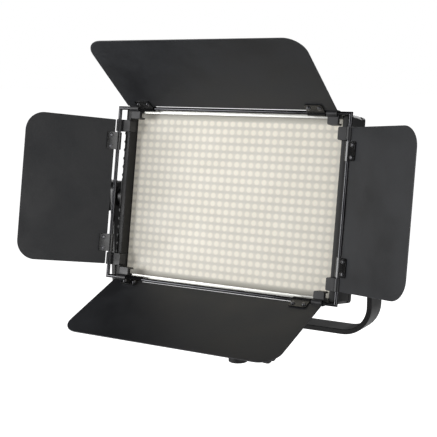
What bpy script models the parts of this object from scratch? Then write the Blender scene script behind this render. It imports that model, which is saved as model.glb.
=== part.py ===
"""LED panel light with four barn doors on a rod frame, held in a U-bracket.

Run with: blender --background --python part.py
Units are metres, +Z is up and the light shines towards -Y. The origin is the
centre of the stand receiver's lower end. The panel is built in its own frame,
centred on the LED field, and is tilted back inside the bracket.
"""

import math

import bmesh
import bpy
from mathutils import Matrix, Vector

# ---- driving dimensions -------------------------------------------------
COLLECTION = "led_panel_light"
GAP = 0.0003

LED_PITCH = 0.0105
LED_COLUMNS = 30
LED_ROWS = 20

TILT_BACK = math.radians(9.14)
PIVOT_HEIGHT = 0.2127
PIVOT_DEPTH = 0.021
PIVOT_DROP = 0.005

CASE_HALF_WIDTH = 0.164
CASE_HALF_HEIGHT = 0.1165
CASE_CHAMFER = 0.004
REAR_ROUND = 0.003
CASE_FRONT = -0.0168
CASE_SPLIT = 0.027
CASE_REAR = 0.038
WALL = 0.0025
OPENING_HALF_WIDTH = 0.156
RAIL_LIP_HEIGHT = 0.1088

ROD_RADIUS = 0.0025
ROD_HALF_WIDTH = 0.1694
ROD_HALF_HEIGHT = 0.1146
ROD_DEPTH = -0.0245
SLEEVE_BORE = 0.0029
SLEEVE_RADIUS = 0.0041

DOOR_THICKNESS = 0.0012
DOOR_START = 0.0056
DOOR_CORNER = 0.025
SIDE_DOOR_REACH = 0.1304
SIDE_DOOR_HALF_LENGTH = 0.0985
SIDE_DOOR_TAPER = 0.0015
LONG_DOOR_REACH = 0.1338
LONG_DOOR_HALF_LENGTH = 0.1536
LONG_DOOR_TAPER = 0.0023
DOOR_OPEN = {"left": 122.1, "right": 147.3, "top": 121.8, "bottom": 118.4}

HINGE_LENGTH = 0.0235
HINGE_REACH = 0.017
HINGE_LEAF = 0.0014
LONG_HINGE_PLACE = 0.1252
SIDE_HINGE_PLACE = 0.0695
CLIP_BLOCK = (0.0018, 0.0072)
CLIP_HOOK_DEPTH = 0.008
CLIP_HOOK_THICKNESS = 0.0022
LONG_CLIP_LENGTH = 0.0142
LONG_CLIP_PLACE = 0.1453
LONG_CLIP_REACH = 0.0137
SIDE_CLIP_LENGTH = 0.0160
SIDE_CLIP_PLACE = 0.0910
SIDE_CLIP_REACH = 0.0162

RIB_RADIUS = 0.0026
RIB_PITCH = 0.0114
RIB_FIRST = 0.0243
RIBS_EACH_WAY = 6
VENT_FIRST = 0.070
VENT_PITCH = 0.008
VENTS_EACH_WAY = 4
VENT_HALF = (0.060, 0.0015)

DIFFUSER = (-0.0010, 0.0005)
LED_BOARD = (0.0028, 0.0044)
BOARD_MARGIN = 0.003
SINK_HALF = (0.145, 0.095)
SINK_BASE = (0.0047, 0.0072)
SINK_TIP = 0.016
SINK_FINS = 15
FIN_THICKNESS = 0.0016
CIRCUIT_BOARD = (0.0200, 0.0216)
DRIVER_BOARD = (0.125, 0.046, 0.100)
CONTROL_BOARD = (0.050, -0.042, 0.043)
POT_RADIUS = 0.008
POT_SEAT = 0.0219

BRACKET_HALF_WIDTH = 0.197
BRACKET_THICKNESS = 0.0065
BRACKET_DEPTH = 0.034
BRACKET_BEND = 0.039
BRACKET_BOTTOM = 0.063
LEG_TOP = 0.234
LEG_CORNER = 0.014

KNOB_RADIUS = 0.0235
KNOB_HOLLOW = 0.003
KNOB_LOBES = 8
KNOB_SPAN = (0.004, 0.0165)
KNOB_COLLAR = 0.011
TILT_SCREW = (-0.024, 0.0122)
PIVOT_BLOCK = (0.0055, -0.031, 0.005, -0.0145, 0.025)
BOSS_RADIUS = 0.0125
WASHER_RADIUS = 0.015
WASHER_THICKNESS = 0.0015

RECEIVER_RADIUS = 0.013
SPIGOT_BORE = 0.0082
SPIGOT_DEPTH = 0.045
BOLT_DEPTH = 0.012
LOCK_HEIGHT = 0.024
LOCK_KNOB_RADIUS = 0.020
LOCK_KNOB_HOLLOW = 0.0045
LOCK_KNOB_LOBES = 6
LOCK_KNOB_SPAN = (0.038, 0.0535)
LOCK_SCREW = (0.0095, 0.0497)
SCREW_RADIUS = 0.004
SCREW_HOLE = 0.0044

CONTROL_HALF_WIDTH = 0.052
CONTROL_TOP = 0.044
CONTROL_BOTTOM = -0.043
CONTROL_THICKNESS = 0.0016
SHAFT_RADIUS = 0.003
SHAFT_HOLE = 0.0038
DIAL_PLACES = {"brightness": -0.026, "colour": 0.026}
DIAL_HEIGHT = 0.001
ROCKER_PLACE = (0.024, -0.0275)
ROCKER_OPENING = (0.0126, 0.0196)
ROCKER_REST = math.radians(8.0)
ROCKER_RADIUS = 0.0093
ROCKER_HALF = 0.0058
BEZEL_RIM = 0.0025
BEZEL_THICKNESS = 0.0012
INLET_PLACE = (-0.026, -0.028)
INLET_RADIUS = 0.0065
INLET_BORE = 0.0045
INLET_FLANGE = 0.009
DISPLAY_CENTRE = 0.0275
DISPLAY_SIZE = (0.050, 0.024)
BATTERY_PLACE = 0.102
BATTERY_HEIGHT = 0.005
BATTERY_SIZE = (0.044, 0.074)
BATTERY_BASE = 0.0035
BATTERY_LIP = 0.0095
BATTERY_RAIL = 0.0025
RELEASE_SIZE = (0.014, 0.0032, 0.009)

COLOURS = {
    "black_plastic": ((0.020, 0.020, 0.021), 0.45, 0.0),
    "door_paint": ((0.033, 0.033, 0.034), 0.55, 0.0),
    "black_steel": ((0.018, 0.018, 0.019), 0.35, 0.3),
    "rod_steel": ((0.055, 0.055, 0.057), 0.28, 0.8),
    "bare_aluminium": ((0.62, 0.62, 0.60), 0.32, 1.0),
    "diffuser_acrylic": ((0.86, 0.84, 0.79), 0.50, 0.0),
    "circuit_board": ((0.70, 0.70, 0.67), 0.50, 0.0),
    "zinc_steel": ((0.45, 0.45, 0.46), 0.30, 1.0),
    "rubber": ((0.012, 0.012, 0.012), 0.75, 0.0),
    "dark_glass": ((0.008, 0.012, 0.014), 0.08, 0.0),
}

FULL_TURN = 2 * math.pi
PARTS = None
CUTTERS = None


# ---- scene and material helpers -----------------------------------------
def start_scene():
    """Empty the scene and make one collection for parts and one for cutters."""
    for obj in list(bpy.data.objects):
        bpy.data.objects.remove(obj, do_unlink=True)
    parts = bpy.data.collections.new(COLLECTION)
    cutters = bpy.data.collections.new("cutters")
    bpy.context.scene.collection.children.link(parts)
    bpy.context.scene.collection.children.link(cutters)
    return parts, cutters


def material(name):
    """Return the named Principled material, made on first use."""
    if name in bpy.data.materials:
        return bpy.data.materials[name]
    colour, roughness, metallic = COLOURS[name]
    made = bpy.data.materials.new(name)
    made.use_nodes = True
    shader = made.node_tree.nodes["Principled BSDF"]
    shader.inputs["Base Color"].default_value = (*colour, 1.0)
    shader.inputs["Roughness"].default_value = roughness
    shader.inputs["Metallic"].default_value = metallic
    return made


def add_object(name, data, finish, parent=None, collection=None):
    """Link an object to its collection, with its material and parent."""
    obj = bpy.data.objects.new(name, data)
    (collection or PARTS).objects.link(obj)
    obj.parent = parent
    if finish:
        data.materials.clear()
        data.materials.append(material(finish))
    return obj


def add_empty(name, parent=None, location=(0, 0, 0), rotation=(0, 0, 0)):
    """Add an empty that stands on a joint's axis."""
    empty = add_object(name, None, None, parent)
    empty.empty_display_size = 0.02
    empty.location = location
    empty.rotation_euler = rotation
    return empty


def mesh_from(bm, name):
    """Turn a bmesh into mesh data, flat faces shaded flat and round ones smooth."""
    bmesh.ops.recalc_face_normals(bm, faces=bm.faces)
    mesh = bpy.data.meshes.new(name)
    bm.to_mesh(mesh)
    bm.free()
    mesh.shade_smooth()
    mesh.set_sharp_from_angle(angle=math.radians(35))
    return mesh


# ---- shape helpers ------------------------------------------------------
def box_mesh(name, low, high):
    """A box between two corners."""
    bm = bmesh.new()
    bmesh.ops.create_cube(bm, size=1.0)
    low, high = Vector(low), Vector(high)
    size = high - low
    bmesh.ops.scale(bm, vec=size, verts=bm.verts)
    bmesh.ops.translate(bm, vec=(low + high) / 2, verts=bm.verts)
    return mesh_from(bm, name)


def rod_mesh(name, radius, start, end, sides=24):
    """A plain cylinder from one point to another along an axis."""
    start, end = Vector(start), Vector(end)
    run = end - start
    turn = run.to_track_quat("Z", "Y").to_matrix().to_4x4()
    bm = bmesh.new()
    bmesh.ops.create_cone(
        bm, cap_ends=True, segments=sides, radius1=radius, radius2=radius,
        depth=run.length, matrix=Matrix.Translation((start + end) / 2) @ turn)
    return mesh_from(bm, name)


def arc(centre, radius, start, end, steps):
    """Points on a circle's arc, angles in degrees, both ends included."""
    angles = [math.radians(start + (end - start) * i / steps) for i in range(steps + 1)]
    return [(centre[0] + radius * math.cos(a), centre[1] + radius * math.sin(a))
            for a in angles]


def circle(centre, radius, sides=20):
    """Points round a full circle."""
    return arc(centre, radius, 0.0, 360.0 * (sides - 1) / sides, sides - 1)


def slab_mesh(name, outlines, low, high):
    """A flat slab: the first outline is its edge and the rest are holes.

    The outlines lie in the XY plane and the slab runs from low to high in Z.
    """
    curve = bpy.data.curves.new(name + "_outline", "CURVE")
    curve.dimensions = "2D"
    curve.fill_mode = "BOTH"
    curve.extrude = (high - low) / 2
    for outline in outlines:
        spline = curve.splines.new("POLY")
        spline.points.add(len(outline) - 1)
        for point, (x, y) in zip(spline.points, outline):
            point.co = (x, y, 0.0, 1.0)
        spline.use_cyclic_u = True
    guide = bpy.data.objects.new(name + "_guide", curve)
    CUTTERS.objects.link(guide)
    depsgraph = bpy.context.evaluated_depsgraph_get()
    mesh = bpy.data.meshes.new_from_object(guide.evaluated_get(depsgraph))
    bpy.data.objects.remove(guide, do_unlink=True)
    bm = bmesh.new()
    bm.from_mesh(mesh)
    bpy.data.meshes.remove(mesh)
    bmesh.ops.remove_doubles(bm, verts=bm.verts, dist=1e-6)
    bmesh.ops.translate(bm, vec=(0, 0, (low + high) / 2), verts=bm.verts)
    return mesh_from(bm, name)


def turned(name, profile, finish, parent, sides=32):
    """A turned part about local Z: (radius, height) points from top to bottom."""
    bm = bmesh.new()
    verts = [bm.verts.new((radius, 0.0, height)) for radius, height in profile]
    for first, second in zip(verts, verts[1:]):
        bm.edges.new((first, second))
    mesh = bpy.data.meshes.new(name)
    bm.to_mesh(mesh)
    bm.free()
    obj = add_object(name, mesh, finish, parent)
    screw = obj.modifiers.new("turn", "SCREW")
    screw.steps = sides
    screw.render_steps = sides
    screw.use_merge_vertices = True
    screw.merge_threshold = 0.00001
    screw.use_smooth_shade = False
    return obj


def reorient(mesh, matrix):
    """Move a mesh's own points by a matrix."""
    mesh.transform(matrix)
    mesh.update()
    return mesh


def axes(x_to, y_to, z_to):
    """A matrix that sends the X, Y and Z axes to the given directions."""
    return Matrix((x_to, y_to, z_to)).transposed().to_4x4()


SLAB_TO_Y = axes((1, 0, 0), (0, 0, 1), (0, -1, 0))   # outline in XZ, slab along -Y
SLAB_TO_X = axes((0, 1, 0), (0, 0, 1), (1, 0, 0))    # outline in YZ, slab along +X
POINT_BACK = (-math.pi / 2, 0, 0)                    # local Z turned to +Y


def cutter(name, mesh, target, operation="DIFFERENCE"):
    """Apply a hidden cutter or tool to a part with an exact Boolean."""
    tool = add_object(name, mesh, None, target.parent, CUTTERS)
    tool.location = target.location
    tool.rotation_euler = target.rotation_euler
    tool.hide_render = True
    tool.display_type = "WIRE"
    boolean = target.modifiers.new(name, "BOOLEAN")
    boolean.operation = operation
    boolean.solver = "EXACT"
    boolean.object = tool
    return tool


def soften(obj, width, segments=2):
    """Round the sharp edges of a part."""
    bevel = obj.modifiers.new("edges", "BEVEL")
    bevel.width = width
    bevel.segments = segments
    bevel.limit_method = "ANGLE"
    bevel.angle_limit = math.radians(50)
    return obj


def rounded(low, high, radius, steps=4):
    """A rectangle between two corners with rounded corners."""
    (x0, y0), (x1, y1), r = low, high, radius
    return (arc((x1 - r, y1 - r), r, 0, 90, steps)
            + arc((x0 + r, y1 - r), r, 90, 180, steps)
            + arc((x0 + r, y0 + r), r, 180, 270, steps)
            + arc((x1 - r, y0 + r), r, 270, 360, steps))


def lobed(radius, depth, lobes, steps=6):
    """A knob's outline with shallow finger hollows."""
    count = lobes * steps
    points = []
    for i in range(count):
        angle = FULL_TURN * i / count
        r = radius - depth * (0.5 + 0.5 * math.cos(lobes * angle)) ** 2
        points.append((r * math.cos(angle), r * math.sin(angle)))
    return points


# ---- bracket and stand receiver -----------------------------------------
def make_bracket():
    """The flat bar bent to a U, with holes for the pivot screws and the receiver."""
    w, t, bend = BRACKET_HALF_WIDTH, BRACKET_THICKNESS, BRACKET_BEND
    low = BRACKET_BOTTOM
    outer_right = arc((w - bend, low + bend), bend, 270, 360, 8)
    outer_left = arc((bend - w, low + bend), bend, 180, 270, 8)
    inner_right = arc((w - bend, low + bend), bend - t, 360, 270, 8)
    inner_left = arc((bend - w, low + bend), bend - t, 270, 180, 8)
    outline = (outer_left + outer_right + [(w, LEG_TOP), (w - t, LEG_TOP)]
               + inner_right + inner_left + [(t - w, LEG_TOP), (-w, LEG_TOP)])
    mesh = slab_mesh("u_bracket", [outline], -BRACKET_DEPTH / 2, BRACKET_DEPTH / 2)
    reorient(mesh, SLAB_TO_Y)
    bm = bmesh.new()
    bm.from_mesh(mesh)
    top = [e for e in bm.edges
           if all(v.co.z > LEG_TOP - GAP for v in e.verts)
           and abs(e.verts[0].co.y - e.verts[1].co.y) < GAP]
    bmesh.ops.bevel(bm, geom=top, offset=LEG_CORNER, segments=5, profile=0.5,
                    affect="EDGES", clamp_overlap=True)
    bm.to_mesh(mesh)
    bm.free()
    bracket = add_object("u_bracket", mesh, "black_steel")
    soften(bracket, 0.0008, 1)
    across = BRACKET_HALF_WIDTH + 0.005
    cutter("pivot_holes", rod_mesh("pivot_holes", SCREW_HOLE, (-across, 0, PIVOT_HEIGHT),
                                   (across, 0, PIVOT_HEIGHT)), bracket)
    cutter("bolt_hole", rod_mesh("bolt_hole", SCREW_HOLE, (0, 0, BRACKET_BOTTOM - 0.005),
                                 (0, 0, BRACKET_BOTTOM + 0.02)), bracket)
    return bracket


def make_receiver():
    """The socket under the bracket that drops over a light stand's spigot."""
    top = BRACKET_BOTTOM - GAP
    bm = bmesh.new()
    bmesh.ops.create_cone(bm, cap_ends=True, segments=32, radius1=RECEIVER_RADIUS,
                          radius2=RECEIVER_RADIUS, depth=top,
                          matrix=Matrix.Translation((0, 0, top / 2)))
    rim = [e for e in bm.edges if all(v.co.z > top - GAP for v in e.verts)]
    bmesh.ops.bevel(bm, geom=rim, offset=0.0008, segments=1, affect="EDGES")
    receiver = add_object("stand_receiver", mesh_from(bm, "stand_receiver"), "black_steel")
    cutter("spigot_bore", rod_mesh("spigot_bore", SPIGOT_BORE, (0, 0, -0.005),
                                   (0, 0, SPIGOT_DEPTH)), receiver)
    cutter("bolt_bore", rod_mesh("bolt_bore", SCREW_HOLE, (0, 0, top - BOLT_DEPTH),
                                 (0, 0, top + 0.005)), receiver)
    cutter("lock_bore", rod_mesh("lock_bore", SCREW_HOLE, (0, 0, LOCK_HEIGHT),
                                 (0.02, 0, LOCK_HEIGHT)), receiver)
    return receiver


def make_receiver_bolt():
    """The domed bolt that ties the receiver to the bracket's bar."""
    seat = BRACKET_BOTTOM + BRACKET_THICKNESS + GAP
    return turned("receiver_bolt", [
        (0.0, seat + 0.0045), (0.004, seat + 0.0042), (0.0065, seat + 0.003),
        (0.0075, seat + 0.001), (0.0075, seat), (SCREW_RADIUS, seat),
        (SCREW_RADIUS, BRACKET_BOTTOM - 0.010), (0.0, BRACKET_BOTTOM - 0.010)],
        "zinc_steel", None, 24)


def make_receiver_lock():
    """The star knob and its screw, which grip the spigot from the side."""
    axis = add_empty("receiver_lock_axis", None, (0.0, 0, LOCK_HEIGHT), (0, math.pi / 2, 0))
    knob = slab_mesh("receiver_knob",
                     [lobed(LOCK_KNOB_RADIUS, LOCK_KNOB_HOLLOW, LOCK_KNOB_LOBES)], *LOCK_KNOB_SPAN)
    grip = add_object("receiver_knob", knob, "black_plastic", axis)
    soften(grip, 0.002, 2)
    cutter("receiver_knob_bore", rod_mesh("receiver_knob_bore", SCREW_RADIUS + GAP,
                                          (0, 0, 0.03), (0, 0, LOCK_SCREW[1] + GAP)), grip)
    screw = rod_mesh("receiver_screw", SCREW_RADIUS, *[(0, 0, height) for height in LOCK_SCREW])
    add_object("receiver_screw", screw, "zinc_steel", axis)


# ---- panel pieces, in the frame of the LED field ------------------------
def make_side_cap(side, sign, panel):
    """One moulded side of the case: outer wall, front lip, recess wall and vent ribs."""
    name = f"side_cap_{side}"
    inner, outer = OPENING_HALF_WIDTH, CASE_HALF_WIDTH
    top, cut = CASE_HALF_HEIGHT, CASE_CHAMFER
    outline = [(inner, -top), (outer - cut, -top), (outer, cut - top),
               (outer, top - cut), (outer - cut, top), (inner, top)]
    outline = [(sign * x, z) for x, z in outline]
    mesh = slab_mesh(name, [outline], -CASE_SPLIT, -CASE_FRONT)
    cap = add_object(name, reorient(mesh, SLAB_TO_Y), "black_plastic", panel)
    soften(cap, 0.0007, 1)
    hollow = sorted((sign * (inner + 0.002), sign * (outer - WALL)))
    cutter(f"{name}_hollow", box_mesh(
        name + "_hollow", (hollow[0], CASE_FRONT + WALL, -top + cut + WALL),
        (hollow[1], CASE_SPLIT + 0.01, top - cut - WALL)), cap)
    for way in (-1, 1):
        for i in range(RIBS_EACH_WAY):
            height = way * (RIB_FIRST + i * RIB_PITCH)
            x = sign * (outer + RIB_RADIUS * 0.5)
            rib = rod_mesh("rib", RIB_RADIUS, (x, CASE_FRONT + 0.004, height),
                           (x, CASE_SPLIT - 0.004, height), 10)
            cutter(f"{name}_rib_{way * (i + 1)}", rib, cap, "UNION")
    return cap


def make_rail(side, sign, panel):
    """An extruded rail that closes the case above or below the LED field."""
    name = f"rail_{side}"
    edge, lip = CASE_HALF_HEIGHT, RAIL_LIP_HEIGHT
    outline = [(CASE_FRONT, lip), (CASE_FRONT, edge), (CASE_SPLIT, edge),
               (CASE_SPLIT, edge - WALL), (CASE_FRONT + WALL, edge - WALL),
               (CASE_FRONT + WALL, lip)]
    half = OPENING_HALF_WIDTH - GAP
    mesh = slab_mesh(name, [[(y, sign * z) for y, z in outline]], -half, half)
    rail = add_object(name, reorient(mesh, SLAB_TO_X), "bare_aluminium", panel)
    return rail


def make_rear_cover(panel):
    """The rear shell: a shallow tray with openings for the controls and vents."""
    bm = bmesh.new()
    bmesh.ops.create_cube(bm, size=1.0)
    depth = CASE_REAR - CASE_SPLIT - GAP
    bmesh.ops.scale(bm, vec=(2 * CASE_HALF_WIDTH, depth, 2 * CASE_HALF_HEIGHT), verts=bm.verts)
    bmesh.ops.translate(bm, vec=(0, CASE_REAR - depth / 2, 0), verts=bm.verts)
    upright = [e for e in bm.edges if abs(e.verts[0].co.y - e.verts[1].co.y) > depth / 2]
    bmesh.ops.bevel(bm, geom=upright, offset=CASE_CHAMFER, segments=3, profile=0.5,
                    affect="EDGES")
    front = [f for f in bm.faces if all(v.co.y < CASE_REAR - depth / 2 for v in f.verts)]
    bmesh.ops.delete(bm, geom=front, context="FACES_ONLY")
    rim = [e for e in bm.edges if all(v.co.y > CASE_REAR - GAP for v in e.verts)]
    bmesh.ops.bevel(bm, geom=rim, offset=REAR_ROUND, segments=2, profile=0.5, affect="EDGES")
    cover = add_object("rear_cover", mesh_from(bm, "rear_cover"), "black_plastic", panel)
    shell = cover.modifiers.new("wall", "SOLIDIFY")
    shell.thickness = WALL
    shell.offset = -1.0
    through = (CASE_REAR - 0.006, CASE_REAR + 0.004)
    for dial, x in DIAL_PLACES.items():
        cutter(f"{dial}_hole", rod_mesh(dial + "_hole", SHAFT_HOLE, (x, through[0], DIAL_HEIGHT),
                                        (x, through[1], DIAL_HEIGHT), 20), cover)
    x, z = INLET_PLACE
    cutter("inlet_hole", rod_mesh("inlet_hole", INLET_RADIUS + GAP, (x, through[0], z),
                                  (x, through[1], z), 20), cover)
    x, z = ROCKER_PLACE
    wide, tall = ROCKER_OPENING
    cutter("rocker_hole", box_mesh("rocker_hole", (x - wide / 2, through[0], z - tall / 2),
                                   (x + wide / 2, through[1], z + tall / 2)), cover)
    for way in (-1, 1):
        for i in range(VENTS_EACH_WAY):
            z = way * (VENT_FIRST + VENT_PITCH * i)
            wide, tall = VENT_HALF
            slot = box_mesh("vent", (-wide, through[0], z - tall), (wide, through[1], z + tall))
            cutter(f"vent_{way * (i + 1)}", slot, cover)
    return cover


def make_light_engine(panel):
    """The diffuser, the LED board and the finned heat sink behind it."""
    half = OPENING_HALF_WIDTH - 0.0008
    tall = RAIL_LIP_HEIGHT + 0.0012
    front, back = DIFFUSER
    add_object("diffuser_sheet", box_mesh("diffuser_sheet", (-half, front, -tall),
                                          (half, back, tall)), "diffuser_acrylic", panel)
    half = OPENING_HALF_WIDTH - 0.001
    tall = LED_ROWS * LED_PITCH / 2 + BOARD_MARGIN
    front, back = LED_BOARD
    add_object("led_board", box_mesh("led_board", (-half, front, -tall), (half, back, tall)),
               "circuit_board", panel)
    (width, height), (low, base) = SINK_HALF, SINK_BASE
    pitch = (2 * width - FIN_THICKNESS) / (SINK_FINS - 1)
    fins = []
    for i in range(SINK_FINS):
        right = width - i * pitch
        left = right - FIN_THICKNESS
        fins += [(right, base), (right, SINK_TIP), (left, SINK_TIP), (left, base)]
    comb = [(-width, low), (width, low)] + fins[1:-1]
    add_object("heat_sink", slab_mesh("heat_sink", [comb], -height, height),
               "bare_aluminium", panel)


def make_electronics(panel):
    """The driver board and the two dial potentiometers inside the rear cover."""
    front, back = CIRCUIT_BOARD
    for name, (half, low, high) in (("driver_board", DRIVER_BOARD),
                                    ("control_board", CONTROL_BOARD)):
        add_object(name, box_mesh(name, (-half, front, low), (half, back, high)),
                   "circuit_board", panel)
    bore = SHAFT_RADIUS + GAP
    for dial, x in DIAL_PLACES.items():
        pot = turned(f"{dial}_potentiometer", [
            (bore, 0.0125), (POT_RADIUS, 0.0125), (POT_RADIUS, 0.0005), (bore, 0.0005),
            (bore, 0.0125)], "zinc_steel", panel, 20)
        pot.location = (x, POT_SEAT, DIAL_HEIGHT)
        pot.rotation_euler = POINT_BACK


def make_controls(panel):
    """The control plate with its display, dials, power rocker and power inlet."""
    seat = CASE_REAR + GAP
    face = seat + CONTROL_THICKNESS
    holes = [circle((x, DIAL_HEIGHT), SHAFT_HOLE) for x in DIAL_PLACES.values()]
    holes.append(circle(INLET_PLACE, INLET_RADIUS + GAP))
    x, z = ROCKER_PLACE
    wide, tall = ROCKER_OPENING
    holes.append([(x - wide / 2, z - tall / 2), (x + wide / 2, z - tall / 2),
                  (x + wide / 2, z + tall / 2), (x - wide / 2, z + tall / 2)])
    wide, tall = DISPLAY_SIZE[0] / 2 + GAP, DISPLAY_SIZE[1] / 2 + GAP
    holes.append([(-wide, DISPLAY_CENTRE - tall), (wide, DISPLAY_CENTRE - tall),
                  (wide, DISPLAY_CENTRE + tall), (-wide, DISPLAY_CENTRE + tall)])
    outline = rounded((-CONTROL_HALF_WIDTH, CONTROL_BOTTOM),
                      (CONTROL_HALF_WIDTH, CONTROL_TOP), 0.006)
    mesh = slab_mesh("control_plate", [outline] + holes, -face, -seat)
    add_object("control_plate", reorient(mesh, SLAB_TO_Y), "black_plastic", panel)

    wide, tall = DISPLAY_SIZE[0] / 2, DISPLAY_SIZE[1] / 2
    add_object("display_window", box_mesh(
        "display_window", (-wide, seat, DISPLAY_CENTRE - tall),
        (wide, face + 0.0006, DISPLAY_CENTRE + tall)), "dark_glass", panel)

    for dial, x in DIAL_PLACES.items():
        knob = turned(f"{dial}_knob", [
            (0.0, 0.0130), (0.0085, 0.0130), (0.0095, 0.0120), (0.0105, 0.0020),
            (0.0115, 0.0010), (0.0115, 0.0), (SHAFT_RADIUS, 0.0),
            (SHAFT_RADIUS, -0.0150), (0.0, -0.0150)], "black_plastic", panel)
        knob.location = (x, face + GAP, DIAL_HEIGHT)
        knob.rotation_euler = POINT_BACK

    x, z = INLET_PLACE
    inlet = turned("power_inlet", [
        (INLET_BORE, 0.0025), (INLET_FLANGE - 0.0008, 0.0025), (INLET_FLANGE, 0.0018),
        (INLET_FLANGE, 0.0), (INLET_RADIUS, 0.0), (INLET_RADIUS, -0.0120),
        (INLET_BORE, -0.0120), (INLET_BORE, 0.0025)], "black_plastic", panel, 24)
    inlet.location = (x, face + GAP, z)
    inlet.rotation_euler = POINT_BACK

    make_rocker(panel)
    bezel_out = [d / 2 + BEZEL_RIM for d in ROCKER_OPENING]
    bezel_in = [d / 2 for d in ROCKER_OPENING]
    x, z = ROCKER_PLACE
    outer = rounded((x - bezel_out[0], z - bezel_out[1]), (x + bezel_out[0], z + bezel_out[1]),
                    0.0015, 2)
    inner = [(x - bezel_in[0], z - bezel_in[1]), (x + bezel_in[0], z - bezel_in[1]),
             (x + bezel_in[0], z + bezel_in[1]), (x - bezel_in[0], z + bezel_in[1])]
    mesh = slab_mesh("rocker_bezel", [outer, inner], -face - GAP - BEZEL_THICKNESS, -face - GAP)
    add_object("rocker_bezel", reorient(mesh, SLAB_TO_Y), "black_plastic", panel)


def make_rocker(panel):
    """The power rocker, whose round ends turn inside its opening."""
    ends = arc((0, 0), ROCKER_RADIUS, 22, -48, 5)
    outline = [(0.0016, 0.0)] + [(y, z) for z, y in ends] + [(y, -z) for z, y in reversed(ends)]
    mesh = slab_mesh("power_rocker", [outline], -ROCKER_HALF, ROCKER_HALF)
    rocker = add_object("power_rocker", reorient(mesh, SLAB_TO_X), "black_plastic", panel)
    x, z = ROCKER_PLACE
    rocker.location = (x, CASE_REAR + 0.0005, z)
    rocker.rotation_euler = (ROCKER_REST, 0, 0)


def make_battery_mount(side, sign, panel):
    """A slide-in battery plate with its spring release button."""
    wide, tall = BATTERY_SIZE[0] / 2, BATTERY_SIZE[1] / 2
    seat = CASE_REAR + GAP
    base, lip, reach = seat + BATTERY_BASE, seat + BATTERY_LIP, BATTERY_RAIL
    outline = [(-wide, seat), (wide, seat), (wide, lip), (wide - 2 * reach, lip),
               (wide - 2 * reach, lip - 0.002), (wide - reach, lip - 0.002),
               (wide - reach, base), (reach - wide, base), (reach - wide, lip - 0.002),
               (2 * reach - wide, lip - 0.002), (2 * reach - wide, lip), (-wide, lip)]
    mesh = slab_mesh(f"battery_plate_{side}", [outline], -tall, tall)
    plate = add_object(f"battery_plate_{side}", mesh, "black_plastic", panel)
    plate.location = (sign * BATTERY_PLACE, 0, BATTERY_HEIGHT)
    across, deep, high = RELEASE_SIZE
    button = box_mesh(f"battery_release_{side}", (-across / 2, 0, -high / 2),
                      (across / 2, deep, high / 2))
    made = add_object(f"battery_release_{side}", button, "rubber", panel)
    made.location = (sign * BATTERY_PLACE, base + GAP, BATTERY_HEIGHT + tall - 0.012)
    soften(made, 0.0008, 1)


def make_pivot(side, sign, tilt):
    """Block and boss on the case, washer, and the screw and knob outside the leg."""
    wall, leg_in = CASE_HALF_WIDTH + GAP, BRACKET_HALF_WIDTH - BRACKET_THICKNESS
    thick, front, back, low, high = PIVOT_BLOCK
    block_end = wall + thick
    boss_end = leg_in - WASHER_THICKNESS - 2 * GAP
    block = box_mesh(f"pivot_block_{side}", (wall, front, low), (block_end, back, high))
    reorient(block, Matrix.Scale(sign, 4, (1, 0, 0)))
    if sign < 0:
        block.flip_normals()
    pivot = add_object(f"pivot_block_{side}", block, "black_plastic", tilt)
    soften(pivot, 0.0012, 2)
    boss = rod_mesh("boss", BOSS_RADIUS, (sign * (block_end - 0.003), 0, 0),
                    (sign * boss_end, 0, 0), 32)
    cutter(f"pivot_boss_{side}", boss, pivot, "UNION")
    bore = rod_mesh("bore", SCREW_HOLE, (sign * (wall + 0.006), 0, 0),
                    (sign * (boss_end + 0.002), 0, 0), 24)
    cutter(f"pivot_bore_{side}", bore, pivot)

    turn = (0, sign * math.pi / 2, 0)
    ring = turned(f"friction_washer_{side}", [
        (SCREW_HOLE, WASHER_THICKNESS), (WASHER_RADIUS, WASHER_THICKNESS), (WASHER_RADIUS, 0.0),
        (SCREW_HOLE, 0.0), (SCREW_HOLE, WASHER_THICKNESS)], "rubber", tilt)
    ring.location = (sign * (boss_end + GAP), 0, 0)
    ring.rotation_euler = turn

    face = BRACKET_HALF_WIDTH + GAP
    outline = lobed(KNOB_RADIUS, KNOB_HOLLOW, KNOB_LOBES)
    knob = add_object(f"tilt_knob_{side}", slab_mesh(f"tilt_knob_{side}", [outline], *KNOB_SPAN),
                      "black_plastic", tilt)
    knob.location = (sign * face, 0, 0)
    knob.rotation_euler = turn
    soften(knob, 0.0016, 2)
    collar = rod_mesh("collar", KNOB_COLLAR, (0, 0, 0), (0, 0, KNOB_SPAN[0] + 0.002), 24)
    cutter(f"tilt_collar_{side}", collar, knob, "UNION")
    tail, tip = TILT_SCREW
    hole = rod_mesh("hole", SCREW_RADIUS + GAP, (0, 0, -0.004), (0, 0, tip + GAP), 24)
    cutter(f"tilt_hole_{side}", hole, knob)
    screw = add_object(f"tilt_screw_{side}", rod_mesh(
        f"tilt_screw_{side}", SCREW_RADIUS, (0, 0, tail), (0, 0, tip), 20), "zinc_steel", tilt)
    screw.location = knob.location
    screw.rotation_euler = turn


# ---- barn door frame, clips, doors and hinges ---------------------------
def make_rod_frame(panel):
    """The closed loop of steel rod that carries the barn doors, mitred at its corners."""
    bm = bmesh.new()
    rings = []
    for across, up in ((-1, -1), (1, -1), (1, 1), (-1, 1)):
        corner = Matrix.Translation((across * ROD_HALF_WIDTH, ROD_DEPTH, up * ROD_HALF_HEIGHT))
        mitre = axes((across, 0, up), (0, 1, 0), (-up, 0, across))
        ring = bmesh.ops.create_circle(bm, segments=16, radius=ROD_RADIUS, matrix=corner @ mitre)
        rings.append({edge for vert in ring["verts"] for edge in vert.link_edges})
    for ring, following in zip(rings, rings[1:] + rings[:1]):
        bmesh.ops.bridge_loops(bm, edges=list(ring | following))
    return add_object("rod_frame", mesh_from(bm, "rod_frame"), "rod_steel", panel)


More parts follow.
